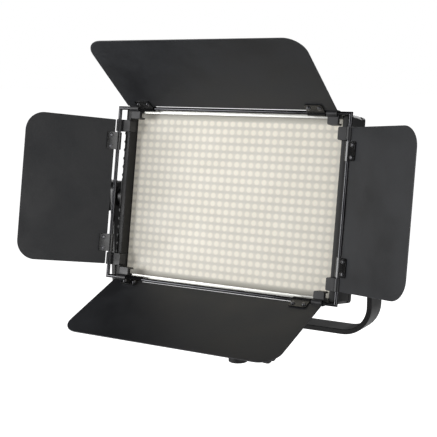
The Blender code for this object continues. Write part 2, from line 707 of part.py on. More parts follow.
def hinge_outline():
    """A sleeve round a rod at the origin with a flat leaf that leaves it along +Y."""
    low = DOOR_THICKNESS / 2 + GAP
    high = low + HINGE_LEAF
    low_angle = math.degrees(math.acos(low / SLEEVE_RADIUS))
    high_angle = math.degrees(math.acos(high / SLEEVE_RADIUS))
    return (arc((0, 0), SLEEVE_RADIUS, low_angle, 360 + high_angle, 18)
            + [(high, HINGE_REACH), (low, HINGE_REACH)])


def clip_outline(reach):
    """A sleeve round a rod at the origin, the block behind it and the hook at its far end."""
    front, back = CLIP_BLOCK
    tip = back + CLIP_HOOK_DEPTH
    hook = reach - CLIP_HOOK_THICKNESS
    start = math.degrees(math.acos(front / SLEEVE_RADIUS))
    return (arc((0, 0), SLEEVE_RADIUS, start, 270, 14)
            + [(back, -SLEEVE_RADIUS), (back, hook), (tip, hook), (tip, reach), (front, reach)])


def add_sleeve_part(name, outline, length, parent, centre):
    """Extrude a sleeve outline along the parent's X axis about a centre."""
    mesh = slab_mesh(name, [outline, circle((0, 0), SLEEVE_BORE, 16)], -length / 2, length / 2)
    obj = add_object(name, reorient(mesh, SLAB_TO_X), "black_steel", parent)
    obj.location = (centre, 0, 0)
    return obj


def make_door(side, turn, panel):
    """One barn door, its two hinges and the two clips on its length of rod."""
    long_side = side in ("top", "bottom")
    angle = {"bottom": 0.0, "top": math.pi, "left": math.pi / 2, "right": -math.pi / 2}[side]
    if long_side:
        centre = (0, ROD_DEPTH, -math.cos(angle) * ROD_HALF_HEIGHT)
        reach, half, taper = LONG_DOOR_REACH, LONG_DOOR_HALF_LENGTH, LONG_DOOR_TAPER
        hinge_place = LONG_HINGE_PLACE
        clip_place, clip_length, clip_reach = LONG_CLIP_PLACE, LONG_CLIP_LENGTH, LONG_CLIP_REACH
    else:
        centre = (-math.sin(angle) * ROD_HALF_WIDTH, ROD_DEPTH, 0)
        reach, half, taper = SIDE_DOOR_REACH, SIDE_DOOR_HALF_LENGTH, SIDE_DOOR_TAPER
        hinge_place = SIDE_HINGE_PLACE
        clip_place, clip_length, clip_reach = SIDE_CLIP_PLACE, SIDE_CLIP_LENGTH, SIDE_CLIP_REACH
    edge = add_empty(f"{side}_edge", panel, centre, (0, angle, 0))
    for number, way in ((1, -1), (2, 1)):
        add_sleeve_part(f"frame_clip_{side}_{number}", clip_outline(clip_reach), clip_length, edge,
                        way * clip_place)

    axis = add_empty(f"{side}_door_axis", edge, (0, 0, 0), (turn, 0, 0))
    r = DOOR_CORNER
    tip = half - taper
    outline = ([(-half, DOOR_START), (half, DOOR_START)]
               + arc((tip - r, reach - r), r, 0, 90, 8)
               + arc((r - tip, reach - r), r, 90, 180, 8))
    mesh = slab_mesh(f"barn_door_{side}", [outline], -DOOR_THICKNESS / 2, DOOR_THICKNESS / 2)
    add_object(f"barn_door_{side}", reorient(mesh, SLAB_TO_Y), "door_paint", axis)
    for number, way in ((1, -1), (2, 1)):
        add_sleeve_part(f"door_hinge_{side}_{number}", hinge_outline(), HINGE_LENGTH, axis,
                        way * hinge_place)


def main():
    """Build the whole light."""
    global PARTS, CUTTERS
    PARTS, CUTTERS = start_scene()

    make_bracket()
    make_receiver()
    make_receiver_bolt()
    make_receiver_lock()

    tilt = add_empty("tilt_axis", None, (0, 0, PIVOT_HEIGHT), (-TILT_BACK, 0, 0))
    panel = add_empty("panel_centre", tilt, (0, -PIVOT_DEPTH, PIVOT_DROP))
    for side, sign in (("left", -1), ("right", 1)):
        make_side_cap(side, sign, panel)
        make_pivot(side, sign, tilt)
        make_battery_mount(side, sign, panel)
    make_rail("top", 1, panel)
    make_rail("bottom", -1, panel)
    make_rear_cover(panel)
    make_light_engine(panel)
    make_electronics(panel)
    make_controls(panel)
    make_rod_frame(panel)
    for side, degrees in DOOR_OPEN.items():
        make_door(side, math.radians(degrees), panel)


main()
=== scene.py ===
"""Looks of a LED panel light with four barn doors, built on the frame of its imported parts."""

import logging
import math
from dataclasses import dataclass
from enum import Enum
from itertools import product

import bmesh
import bpy
from mathutils import Matrix, Vector


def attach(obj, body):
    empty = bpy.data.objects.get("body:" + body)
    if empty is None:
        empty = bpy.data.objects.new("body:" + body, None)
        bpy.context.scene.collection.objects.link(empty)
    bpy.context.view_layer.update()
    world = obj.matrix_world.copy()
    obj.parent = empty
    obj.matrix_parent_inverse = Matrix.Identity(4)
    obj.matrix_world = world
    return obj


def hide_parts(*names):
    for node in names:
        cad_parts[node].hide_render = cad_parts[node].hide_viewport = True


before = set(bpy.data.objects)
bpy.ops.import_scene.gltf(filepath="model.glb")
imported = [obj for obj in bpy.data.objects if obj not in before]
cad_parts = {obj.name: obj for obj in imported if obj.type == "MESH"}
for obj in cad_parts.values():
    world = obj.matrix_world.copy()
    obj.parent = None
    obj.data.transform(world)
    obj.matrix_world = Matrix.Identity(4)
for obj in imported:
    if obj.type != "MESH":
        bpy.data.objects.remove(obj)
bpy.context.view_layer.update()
LOG = logging.getLogger("led_panel_light")

MM = 0.001
TILT_BACK = math.radians(9.14)
PIVOT = Vector((0.0, 0.0, 0.2127))
PIVOT_DEPTH = 0.021
PIVOT_DROP = 0.005
TILT = Matrix.Translation(PIVOT) @ Matrix.Rotation(-TILT_BACK, 4, "X")
PANEL = TILT @ Matrix.Translation((0.0, -PIVOT_DEPTH, PIVOT_DROP))
ROD_DEPTH = -0.0245
ROD_HALF_WIDTH = 0.1694
ROD_HALF_HEIGHT = 0.1146
ROD_RADIUS = 0.0025
SLEEVE_BORE = 0.0029
SLEEVE_RADIUS = 0.0041
LED_PITCH = 0.0105
LED_COLUMNS = 30
LED_ROWS = 20
CASE_REAR = 0.038
CONTROL_FACE = 0.0399
DIAL_PLACES = {"brightness": -0.026, "colour": 0.026}
DIAL_HEIGHT = 0.001
SCREW_HOLE = 0.0044
SCREW_RADIUS = 0.004


def axes(x_to: tuple, y_to: tuple, z_to: tuple) -> Matrix:
    """Make the turn that sends the three axes to the given directions.

    Args:
        x_to: where X goes.
        y_to: where Y goes.
        z_to: where Z goes.

    Returns:
        The turn as a 4 by 4 matrix.
    """
    return Matrix((x_to, y_to, z_to)).transposed().to_4x4()


FACING_FRONT = axes((1, 0, 0), (0, 0, 1), (0, -1, 0))
FACING_BACK = axes((-1, 0, 0), (0, 0, 1), (0, 1, 0))
ALONG_X = Matrix.Rotation(math.pi / 2, 4, "Y")


def at(x: float, y: float, z: float) -> Matrix:
    """Make a shift to a point given in metres."""
    return Matrix.Translation((x, y, z))


# ---- finishes -------------------------------------------------------------
def linear(code: str) -> tuple[float, float, float, float]:
    """Turn a colour from sRGB hex to linear values.

    Args:
        code: the colour as "#rrggbb".

    Returns:
        Red, green, blue and an alpha of one.
    """
    parts = [int(code[i:i + 2], 16) / 255 for i in (1, 3, 5)]
    red, green, blue = [c / 12.92 if c <= 0.04045 else ((c + 0.055) / 1.055) ** 2.4 for c in parts]
    return red, green, blue, 1.0


def add_node(tree: bpy.types.NodeTree, kind: str, inputs: dict | None = None,
             **settings: object) -> bpy.types.Node:
    """Add one node with its settings, values and links.

    Args:
        tree: the node tree it joins.
        kind: the node's type name.
        inputs: socket name or number to a value, or to the socket that feeds it.
        settings: the node's own properties.

    Returns:
        The new node.
    """
    node = tree.nodes.new(kind)
    for name, value in settings.items():
        setattr(node, name, value)
    for name, value in (inputs or {}).items():
        if isinstance(value, bpy.types.NodeSocket):
            tree.links.new(value, node.inputs[name])
        else:
            node.inputs[name].default_value = value
    return node


@dataclass(frozen=True)
class Finish:
    """What every finish shares: its tones, its gloss and the drift of both over the surface."""

    name: str
    tone: str
    drift_tone: str
    roughness: float
    metallic: float = 0.0
    ior: float = 1.5
    coat: float = 0.0
    drift_mm: float = 35.0
    roughness_drift: float = 0.06
    grain_mm: float = 0.9
    grain_height_mm: float = 0.03
    grain_stretch: tuple[float, float, float] = (1.0, 1.0, 1.0)

    def grain(self, tree: bpy.types.NodeTree, where: bpy.types.NodeSocket) -> bpy.types.NodeSocket:
        """Make the fine relief of the surface.

        Args:
            tree: the material's node tree.
            where: the place on the object.

        Returns:
            A height from 0 to 1.
        """
        noise = add_node(tree, "ShaderNodeTexNoise",
                         {"Vector": where, "Scale": 1 / (self.grain_mm * MM), "Detail": 2.0,
                          "Roughness": 0.55})
        return noise.outputs["Fac"]

    def tint(self, tree: bpy.types.NodeTree, where: bpy.types.NodeSocket,
             drift: bpy.types.NodeSocket) -> bpy.types.NodeSocket:
        """Make the colour, which drifts slowly between the two tones.

        Args:
            tree: the material's node tree.
            where: the place on the object; not used here.
            drift: a slow drift from 0 to 1.

        Returns:
            The colour.
        """
        mix = add_node(tree, "ShaderNodeMix", {"Factor": drift, "A": linear(self.tone),
                                               "B": linear(self.drift_tone)}, data_type="RGBA")
        return mix.outputs[2]

    def material(self) -> bpy.types.Material:
        """Make the material, or hand back the one made before.

        Returns:
            The material, ready for a piece's slot.
        """
        made = bpy.data.materials.get(self.name)
        if made is not None:
            return made
        made = bpy.data.materials.new(self.name)
        made.use_nodes = True
        tree = made.node_tree
        tree.nodes.clear()
        place = add_node(tree, "ShaderNodeTexCoord")
        where = add_node(tree, "ShaderNodeMapping", {"Vector": place.outputs["Object"],
                                                     "Scale": self.grain_stretch})
        slow = add_node(tree, "ShaderNodeTexNoise",
                        {"Vector": place.outputs["Object"], "Scale": 1 / (self.drift_mm * MM),
                         "Detail": 3.0, "Roughness": 0.6})
        drift = add_node(tree, "ShaderNodeMapRange",
                         {"Value": slow.outputs["Fac"], "From Min": 0.35, "From Max": 0.65})
        height = self.grain(tree, where.outputs["Vector"])
        rough = add_node(tree, "ShaderNodeMapRange",
                         {"Value": drift.outputs["Result"],
                          "To Min": self.roughness - self.roughness_drift,
                          "To Max": self.roughness + self.roughness_drift})
        bump = add_node(tree, "ShaderNodeBump",
                        {"Height": height, "Strength": 0.6,
                         "Distance": self.grain_height_mm * MM})
        shader = add_node(tree, "ShaderNodeBsdfPrincipled",
                          {"Base Color": self.tint(tree, place.outputs["Object"],
                                                   drift.outputs["Result"]),
                           "Roughness": rough.outputs["Result"], "Metallic": self.metallic,
                           "IOR": self.ior, "Coat Weight": self.coat, "Coat Roughness": 0.25,
                           "Normal": bump.outputs["Normal"]})
        self.dress(tree, shader)
        add_node(tree, "ShaderNodeOutputMaterial", {"Surface": shader.outputs["BSDF"]})
        made.diffuse_color = linear(self.tone)
        return made

    def dress(self, tree: bpy.types.NodeTree, shader: bpy.types.Node) -> None:
        """Leave room for what one finish adds to the shared ones."""


@dataclass(frozen=True)
class PowderCoat(Finish):
    """Baked powder paint, whose skin has the shallow cells of orange peel and pale specks."""

    speck: float = 0.35

    def grain(self, tree: bpy.types.NodeTree, where: bpy.types.NodeSocket) -> bpy.types.NodeSocket:
        """Make the orange peel: smooth cells with a finer grit on them.

        Args:
            tree: the material's node tree.
            where: the place on the object.

        Returns:
            A height from 0 to 1.
        """
        cells = add_node(tree, "ShaderNodeTexVoronoi",
                         {"Vector": where, "Scale": 1 / (self.grain_mm * MM), "Smoothness": 0.7},
                         feature="SMOOTH_F1")
        grit = add_node(tree, "ShaderNodeTexNoise",
                        {"Vector": where, "Scale": 3 / (self.grain_mm * MM), "Detail": 1.0})
        total = add_node(tree, "ShaderNodeMath", {0: grit.outputs["Fac"], 1: 0.35,
                                                  2: cells.outputs["Distance"]},
                         operation="MULTIPLY_ADD")
        return total.outputs["Value"]

    def tint(self, tree: bpy.types.NodeTree, where: bpy.types.NodeSocket,
             drift: bpy.types.NodeSocket) -> bpy.types.NodeSocket:
        """Make the paint's colour with a thin scatter of paler specks.

        Args:
            tree: the material's node tree.
            where: the place on the object.
            drift: a slow drift from 0 to 1.

        Returns:
            The colour.
        """
        specks = add_node(tree, "ShaderNodeTexNoise",
                          {"Vector": where, "Scale": 1.2 / (self.grain_mm * MM), "Detail": 2.0})
        share = add_node(tree, "ShaderNodeMapRange",
                         {"Value": specks.outputs["Fac"], "From Min": 0.52, "From Max": 0.75,
                          "To Max": self.speck})
        both = add_node(tree, "ShaderNodeMath", {0: drift, 1: 0.6, 2: share.outputs["Result"]},
                        operation="MULTIPLY_ADD", use_clamp=True)
        mix = add_node(tree, "ShaderNodeMix", {"Factor": both.outputs["Value"],
                                               "A": linear(self.tone),
                                               "B": linear(self.drift_tone)}, data_type="RGBA")
        return mix.outputs[2]


@dataclass(frozen=True)
class Frosted(Finish):
    """Frosted acrylic over rows of LEDs that show through it as soft warm spots, with a painted
    glow over the sheet and painted shade between the rows and along its edges.
    """

    # The LEDs' warm tint with a painted glow on top, lighter than the sheet.
    led_tint_painted_glow_tone: str = "#efe9db"
    # Painted shade in the gaps between the rows of LEDs.
    row_gap_painted_shade_tone: str = "#cfcbc0"
    # Painted shade along the sheet's edges, next to the walls of the recess.
    edge_painted_shade_tone: str = "#b9b6ac"
    # Strength of the painted glow that the whole sheet gives off.
    painted_glow: float = 0.18

    def tint(self, tree: bpy.types.NodeTree, where: bpy.types.NodeSocket,
             drift: bpy.types.NodeSocket) -> bpy.types.NodeSocket:
        """Make the spots: one soft round painted glow over each LED, joined into rows, with painted
        shade between the rows and along the sheet's edges.

        Args:
            tree: the material's node tree.
            where: the place on the object.
            drift: a slow drift from 0 to 1; not used here.

        Returns:
            The colour of the sheet.
        """
        back = PANEL.inverted()
        local = add_node(tree, "ShaderNodeMapping",
                         {"Vector": where, "Location": back.to_translation(),
                          "Rotation": back.to_euler()})
        split = add_node(tree, "ShaderNodeSeparateXYZ", {"Vector": local.outputs["Vector"]})
        square = []
        for axis in ("X", "Z"):
            cell = add_node(tree, "ShaderNodeMath", {0: split.outputs[axis], 1: LED_PITCH},
                            operation="DIVIDE")
            part = add_node(tree, "ShaderNodeMath", {0: cell.outputs["Value"]}, operation="FRACT")
            off = add_node(tree, "ShaderNodeMath", {0: part.outputs["Value"], 1: 0.5},
                           operation="SUBTRACT")
            power = add_node(tree, "ShaderNodeMath", {0: off.outputs["Value"],
                                                      1: off.outputs["Value"]},
                             operation="MULTIPLY")
            square.append(power.outputs["Value"])
        radius = add_node(tree, "ShaderNodeMath", {0: square[0], 1: square[1]}, operation="ADD")
        # A painted glow over each LED, lightest at its centre.
        spot = add_node(tree, "ShaderNodeMapRange",
                        {"Value": radius.outputs["Value"], "From Min": 0.0, "From Max": 0.22,
                         "To Min": 1.0, "To Max": 0.0}, interpolation_type="SMOOTHERSTEP")
        # Painted shade: a darker band between each two rows of LEDs.
        row = add_node(tree, "ShaderNodeMapRange",
                       {"Value": square[1], "From Min": 0.0, "From Max": 0.20,
                        "To Min": 1.0, "To Max": 0.0}, interpolation_type="SMOOTHSTEP")
        row_shade_bands = add_node(tree, "ShaderNodeMix", {"Factor": row.outputs["Result"],
                                                 "A": linear(self.row_gap_painted_shade_tone),
                                                 "B": linear(self.tone)}, data_type="RGBA")
        glow_spots = add_node(tree, "ShaderNodeMix", {"Factor": spot.outputs["Result"],
                                                 "A": row_shade_bands.outputs[2],
                                                 "B": linear(self.led_tint_painted_glow_tone)}, data_type="RGBA")
        # Painted shade: the sheet darkens towards its edges, beside the recess walls.
        inside = []
        for axis, count in (("X", LED_COLUMNS), ("Z", LED_ROWS)):
            away = add_node(tree, "ShaderNodeMath", {0: split.outputs[axis]},
                            operation="ABSOLUTE")
            edge = count * LED_PITCH / 2
            share = add_node(tree, "ShaderNodeMapRange",
                             {"Value": away.outputs["Value"], "From Min": edge - 0.004,
                              "From Max": edge + 0.001, "To Min": 1.0, "To Max": 0.0},
                             interpolation_type="SMOOTHSTEP")
            inside.append(share.outputs["Result"])
        edge_shade_mask = add_node(tree, "ShaderNodeMath", {0: inside[0], 1: inside[1]},
                         operation="MULTIPLY")
        sheet = add_node(tree, "ShaderNodeMix", {"Factor": edge_shade_mask.outputs["Value"],
                                                 "A": linear(self.edge_painted_shade_tone),
                                                 "B": glow_spots.outputs[2]}, data_type="RGBA")
        return sheet.outputs[2]

    def dress(self, tree: bpy.types.NodeTree, shader: bpy.types.Node) -> None:
        """Make the sheet give off its painted colour as a painted glow, so it looks brighter than
        the lamps alone make it.

        Args:
            tree: the material's node tree.
            shader: the sheet's shader.
        """
        tree.links.new(shader.inputs["Base Color"].links[0].from_socket,
                       shader.inputs["Emission Color"])
        shader.inputs["Emission Strength"].default_value = self.painted_glow


@dataclass(frozen=True)
class LitPaper(Finish):
    """Background paper lit to full white, which only the camera sees as bright."""

    def dress(self, tree: bpy.types.NodeTree, shader: bpy.types.Node) -> None:
        """Give the paper its own light where the camera looks straight at it.

        Args:
            tree: the material's node tree.
            shader: the paper's shader.
        """
        ray = add_node(tree, "ShaderNodeLightPath")
        tree.links.new(ray.outputs["Is Camera Ray"], shader.inputs["Emission Strength"])
        shader.inputs["Emission Color"].default_value = linear("#ffffff")


@dataclass(frozen=True)
class PrintedBoard(Finish):
    """A circuit board's solder mask with raised copper tracks under it."""

    track_mm: float = 2.6

    def grain(self, tree: bpy.types.NodeTree, where: bpy.types.NodeSocket) -> bpy.types.NodeSocket:
        """Make the tracks: long and cross runs with straight sides.

        Args:
            tree: the material's node tree.
            where: the place on the object.

        Returns:
            A height from 0 to 1.
        """
        runs = add_node(tree, "ShaderNodeTexBrick",
                        {"Vector": where, "Scale": 1 / (self.track_mm * MM), "Mortar Size": 0.04,
                         "Color1": (1, 1, 1, 1), "Color2": (0.6, 0.6, 0.6, 1),
                         "Mortar": (0, 0, 0, 1)})
        return runs.outputs["Color"]


class Coat(Enum):
    """The finishes of the light, each named for the real one."""

    # Moulded ABS with a fine spark-eroded skin: near black with a soft, wide sheen.
    CASE = Finish("moulded_abs_spark_eroded", "#0e0e0f", "#141415", 0.42, ior=1.45)
    # Polished ABS on grips: glossier than the case, with brighter lights along each lobe.
    GRIP = Finish("moulded_abs_satin", "#171718", "#1d1d1e", 0.34, ior=1.53, grain_mm=0.6,
                  grain_height_mm=0.015)
    # Powder coat over aluminium sheet: charcoal, matt, faintly mottled where light grazes it.
    DOOR = PowderCoat("powder_coated_sheet", "#232427", "#303236", 0.50, grain_mm=1.8,
                      grain_height_mm=0.05, drift_mm=55.0)
    # The same paint on the cut edge, painted paler as a painted highlight along the edge, and a
    # little shinier.
    DOOR_EDGE = PowderCoat("powder_coat_painted_edge_highlight", "#303134", "#48494c", 0.38, grain_mm=1.2)
    # Electrocoated pressed steel: black with tight bright lights on its bends.
    STEEL = Finish("electrocoated_pressed_steel", "#0c0c0d", "#121213", 0.22, ior=1.5,
                   grain_mm=1.4, grain_height_mm=0.02, coat=0.2)
    # Zinc die casting under thin matt black paint: a mid grey bloom on faces that catch light.
    CLIP = PowderCoat("painted_zinc_die_casting", "#222224", "#3a3a3c", 0.44, ior=1.5,
                      grain_mm=0.8, grain_height_mm=0.02, speck=0.2)
    # Black nickel on a drawn rod: a dark mirror with one bright line along each run.
    ROD = Finish("black_nickel_drawn_rod", "#39393b", "#49494b", 0.20, metallic=1.0,
                 grain_mm=0.7, grain_height_mm=0.01)
    # Powder coat on thick alloy bar: black with a satin light along its rounded edges.
    BAR = PowderCoat("powder_coated_alloy_bar", "#101011", "#19191a", 0.34, grain_mm=1.0,
                     grain_height_mm=0.02, speck=0.15)
    # Extruded aluminium, clear anodised: pale metal with fine lines along the extrusion.
    ALUMINIUM = Finish("anodised_extruded_aluminium", "#b4b4b0", "#c2c2be", 0.38, metallic=1.0,
                       grain_mm=0.5, grain_height_mm=0.01, grain_stretch=(0.02, 1.0, 1.0))
    # Zinc plated steel: pale grey, slightly blue, fairly bright.
    ZINC = Finish("zinc_plated_steel", "#a9abb0", "#bcbdc0", 0.28, metallic=1.0, grain_mm=0.6,
                  grain_height_mm=0.01)
    # Screw steel with worn black oxide: mid grey heads that stand out from the black leaves.
    SCREW = Finish("black_oxide_screw_steel", "#6a6a6d", "#7c7c7f", 0.3, metallic=1.0,
                   grain_mm=0.5, grain_height_mm=0.01)
    # Nitrile rubber: dead black, with no clear reflection at all.
    RUBBER = Finish("nitrile_rubber", "#131313", "#191919", 0.82, grain_mm=0.5)
    # Tinted acrylic window: almost black with one clear reflection.
    WINDOW = Finish("tinted_acrylic_window", "#07090a", "#0a0c0d", 0.08, ior=1.49, coat=0.5,
                    roughness_drift=0.02, grain_height_mm=0.0)
    # Frosted acrylic: warm off-white that blurs each LED to a spot, with a painted glow on the
    # spots and painted shade between the rows and at the edges.
    DIFFUSER = Frosted("frosted_acrylic_over_leds", "#dad6ca", "#d0ccc0", 0.46, ior=1.49,
                       grain_mm=1.0, grain_height_mm=0.01)
    # White solder mask: slightly glossy, with faint raised tracks.
    WHITE_BOARD = PrintedBoard("white_solder_mask", "#dcdcd6", "#cfcfc8", 0.4, grain_mm=2.6,
                               grain_height_mm=0.03)
    # Green solder mask over copper tracks.
    GREEN_BOARD = PrintedBoard("green_solder_mask", "#1f5a38", "#17492d", 0.35, track_mm=3.4,
                               grain_height_mm=0.04)
    # Phosphor gel over the LED dies: warm white type and cool white type.
    WARM_LED = Finish("warm_phosphor_gel", "#e7a83c", "#eeb754", 0.3, ior=1.41)
    COOL_LED = Finish("cool_phosphor_gel", "#ece06a", "#f0e88a", 0.3, ior=1.41)
    # Gold flashed contacts.
    CONTACT = Finish("gold_flashed_contact", "#c9a24d", "#d8b565", 0.25, metallic=1.0)
    # Pad printed ink: a thin flat white.
    INK = Finish("pad_printed_ink", "#cfcfcc", "#c2c2bf", 0.6, grain_height_mm=0.0)
    # Red enamel in the index line of the tilt knob.
    RED_MARK = Finish("red_index_enamel", "#a3262e", "#b5323a", 0.35, coat=0.4)


# ---- stock shapes ---------------------------------------------------------
def round_over(bm: bmesh.types.BMesh, edges: list, radius: float, steps: int,
               affect: str = "EDGES") -> list:
    """Round edges or corners of a mesh.

    Args:
        bm: the mesh.
        edges: the edges, or the vertices, to round.
        radius: the size of the round.
        steps: how many faces make it.
        affect: "EDGES" or "VERTICES".

    Returns:
        The faces of the round.
    """
    done = bmesh.ops.bevel(bm, geom=edges, offset=radius, segments=steps, profile=0.5,
                           affect=affect, clamp_overlap=True, material=-1)
    return done["faces"]


def plate(width: float, height: float, thick: float, corner: float = 0.0, edge: float = 0.0,
          steps: int = 6) -> bmesh.types.BMesh:
    """Make a flat plate in XY whose lower face is at height zero.

    Args:
        width: size along X.
        height: size along Y.
        thick: size along Z.
        corner: radius of the four corners.
        edge: radius of the rims.
        steps: faces in each corner.

    Returns:
        The plate's mesh.
    """
    bm = bmesh.new()
    size = Matrix.LocRotScale((0, 0, thick / 2), None, (width, height, thick))
    bmesh.ops.create_cube(bm, size=1.0, matrix=size)
    if corner:
        upright = [e for e in bm.edges if abs(e.verts[0].co.z - e.verts[1].co.z) > thick / 2]
        round_over(bm, upright, corner, steps)
    if edge:
        round_over(bm, sharp_edges(bm), edge, 2)
    return bm


def sharp_edges(bm: bmesh.types.BMesh, degrees: float = 50.0) -> list:
    """List the edges whose faces meet at more than an angle."""
    return [e for e in bm.edges if e.calc_face_angle(0.0) > math.radians(degrees)]


def post(radius: float, height: float, edge: float = 0.0, sides: int = 32,
         top_radius: float | None = None) -> bmesh.types.BMesh:
    """Make a round post on the Z axis that stands on height zero.

    Args:
        radius: radius at its foot.
        height: how tall it is.
        edge: radius of its rims.
        sides: how many sides it has.
        top_radius: radius at its top, where that differs.

    Returns:
        The post's mesh.
    """
    bm = bmesh.new()
    bmesh.ops.create_cone(bm, cap_ends=True, segments=sides, radius1=radius,
                          radius2=radius if top_radius is None else top_radius, depth=height,
                          matrix=Matrix.Translation((0, 0, height / 2)))
    if edge:
        round_over(bm, sharp_edges(bm), edge, 2)
    return bm


def turned(profile: list[tuple[float, float]], steps: int = 40) -> bmesh.types.BMesh:
    """Turn a profile on the Z axis, as on a lathe.

    Args:
        profile: radius and height of each point, in order.
        steps: how many faces go round.

    Returns:
        The turned mesh, closed where its profile is.
    """
    bm = bmesh.new()
    points = [bm.verts.new((r, 0, z)) for r, z in profile]
    for a, b in zip(points, points[1:]):
        bm.edges.new((a, b))
    bmesh.ops.spin(bm, geom=bm.verts[:] + bm.edges[:], cent=(0, 0, 0), axis=(0, 0, 1),
                   angle=2 * math.pi, steps=steps, use_merge=True, use_duplicate=False)
    bmesh.ops.remove_doubles(bm, verts=bm.verts, dist=1e-6)
    bmesh.ops.recalc_face_normals(bm, faces=bm.faces)
    return bm


def screw_head(radius: float, height: float, recess: float = 0.5) -> bmesh.types.BMesh:
    """Make a pan head with a cross recess, seated on height zero.

    Args:
        radius: the head's radius.
        height: the head's height.
        recess: how deep the cross goes, as a share of the height.

    Returns:
        The head's mesh.
    """
    bm = bmesh.new()
    bmesh.ops.create_grid(bm, x_segments=5, y_segments=5, size=radius * 0.58,
                          matrix=Matrix.Translation((0, 0, height)))
    arm = radius * 0.58 / 5
    cross = [f for f in bm.faces if min(abs(f.calc_center_median().x),
                                        abs(f.calc_center_median().y)) < arm
             and max(abs(f.calc_center_median().x), abs(f.calc_center_median().y)) < 3.2 * arm]
    rim = [e for e in bm.edges if e.is_boundary]
    outer = bmesh.ops.create_circle(bm, segments=20, radius=radius * 0.86,
                                    matrix=Matrix.Translation((0, 0, height * 0.9))
                                    @ Matrix.Rotation(math.pi / 4, 4, "Z"))
    circle = list({e for v in outer["verts"] for e in v.link_edges})
    bmesh.ops.bridge_loops(bm, edges=rim + circle)
    sunk = bmesh.ops.extrude_face_region(bm, geom=cross)
    bmesh.ops.translate(bm, vec=(0, 0, -height * recess),
                        verts=[v for v in sunk["geom"] if isinstance(v, bmesh.types.BMVert)])
    bmesh.ops.delete(bm, geom=[f for f in cross if f.is_valid], context="FACES_ONLY")
    edge = [e for e in bm.edges if e.is_boundary
            and all(v.co.to_2d().length > radius * 0.8 for v in e.verts)]
    for scale, drop in ((1.16, 0.35), (1.0, 0.55)):
        grown = bmesh.ops.extrude_edge_only(bm, edges=edge)["geom"]
        ring = [v for v in grown if isinstance(v, bmesh.types.BMVert)]
        bmesh.ops.scale(bm, vec=(scale, scale, 1), verts=ring)
        bmesh.ops.translate(bm, vec=(0, 0, -height * drop), verts=ring)
        edge = [e for e in grown if isinstance(e, bmesh.types.BMEdge)]
    bmesh.ops.holes_fill(bm, edges=edge, sides=0)
    bmesh.ops.recalc_face_normals(bm, faces=bm.faces)
    return bm


def verts_of(result: dict) -> list:
    """Pick the vertices out of an operator's result."""
    return [v for v in result["geom"] if isinstance(v, bmesh.types.BMVert)]


def edges_of(result: dict) -> list:
    """Pick the edges out of an operator's result."""
    return [e for e in result["geom"] if isinstance(e, bmesh.types.BMEdge)]


class Shape:
    """One piece in the making: stock is set into it, then it is finished as an object."""

    def __init__(self) -> None:
        """Start with nothing."""
        self.bm = bmesh.new()

    def add(self, stock: bmesh.types.BMesh, place: Matrix = Matrix(), finish: int = 0) -> "Shape":
        """Set one piece of stock in place and use it up.

        Args:
            stock: the mesh to set in.
            place: where it goes.
            finish: number added to the finish of each of its faces.

        Returns:
            The shape itself.
        """
        bmesh.ops.transform(stock, matrix=place, verts=stock.verts)
        for face in stock.faces:
            face.material_index += finish
        carrier = bpy.data.meshes.new("stock")
        stock.to_mesh(carrier)
        stock.free()
        self.bm.from_mesh(carrier)
        bpy.data.meshes.remove(carrier)
        return self

    def drill(self, bits: list[bmesh.types.BMesh]) -> "Shape":
        """Cut the shape with other meshes, which are used up.

        Args:
            bits: the closed meshes that are cut away.

        Returns:
            The shape itself.
        """
        block = bpy.data.objects.new("block", bpy.data.meshes.new("block"))
        self.bm.to_mesh(block.data)
        bpy.context.scene.collection.objects.link(block)
        tools = []
        for bit in bits:
            tool = bpy.data.objects.new("bit", bpy.data.meshes.new("bit"))
            bit.to_mesh(tool.data)
            bit.free()
            bpy.context.scene.collection.objects.link(tool)
            cut = block.modifiers.new("cut", "BOOLEAN")
            cut.object = tool
            cut.solver = "EXACT"
            tools.append(tool)
        made = bpy.data.meshes.new_from_object(
            block.evaluated_get(bpy.context.evaluated_depsgraph_get()))
        self.bm.clear()
        self.bm.from_mesh(made)
        for obj in [block, *tools]:
            bpy.data.meshes.remove(obj.data)
        bpy.data.meshes.remove(made)
        return self

    def finish(self, name: str, body: str, slot: str, coats: list[Coat],
               replaces: tuple[str, ...] = (), place: Matrix = Matrix(), edge: float = 0.0,
               steps: int = 2) -> bpy.types.Object:
        """Turn the shape into a dressed object that rides on a body.

        Args:
            name: the piece's name.
            body: the body it rides on.
            slot: the record's material slot it stands for; not used.
            coats: its finishes, in the order of its finish numbers.
            replaces: the frame's nodes that it stands for.
            place: where the whole piece goes.
            edge: radius of a last rounding of every sharp edge.
            steps: faces in that rounding.

        Returns:
            The piece.
        """
        bmesh.ops.transform(self.bm, matrix=place, verts=self.bm.verts)
        mesh = bpy.data.meshes.new(name)
        self.bm.to_mesh(mesh)
        self.bm.free()
        mesh.polygons.foreach_set("use_smooth", [True] * len(mesh.polygons))
        piece = bpy.data.objects.new(name, mesh)
        bpy.context.scene.collection.objects.link(piece)
        if edge:
            rounding = piece.modifiers.new("edges", "BEVEL")
            rounding.width = edge
            rounding.segments = steps
            rounding.limit_method = "ANGLE"
            rounding.angle_limit = math.radians(40)
            rounding.use_clamp_overlap = True
        else:
            mesh.set_sharp_from_angle(angle=math.radians(50))
        even = piece.modifiers.new("even_shading", "WEIGHTED_NORMAL")
        even.keep_sharp = True
        for coat in coats:
            mesh.materials.append(coat.value.material())
        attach(piece, body)
        if replaces:
            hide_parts(*replaces)
        LOG.info("%s: %d faces on %s", name, len(mesh.polygons), body)
        return piece


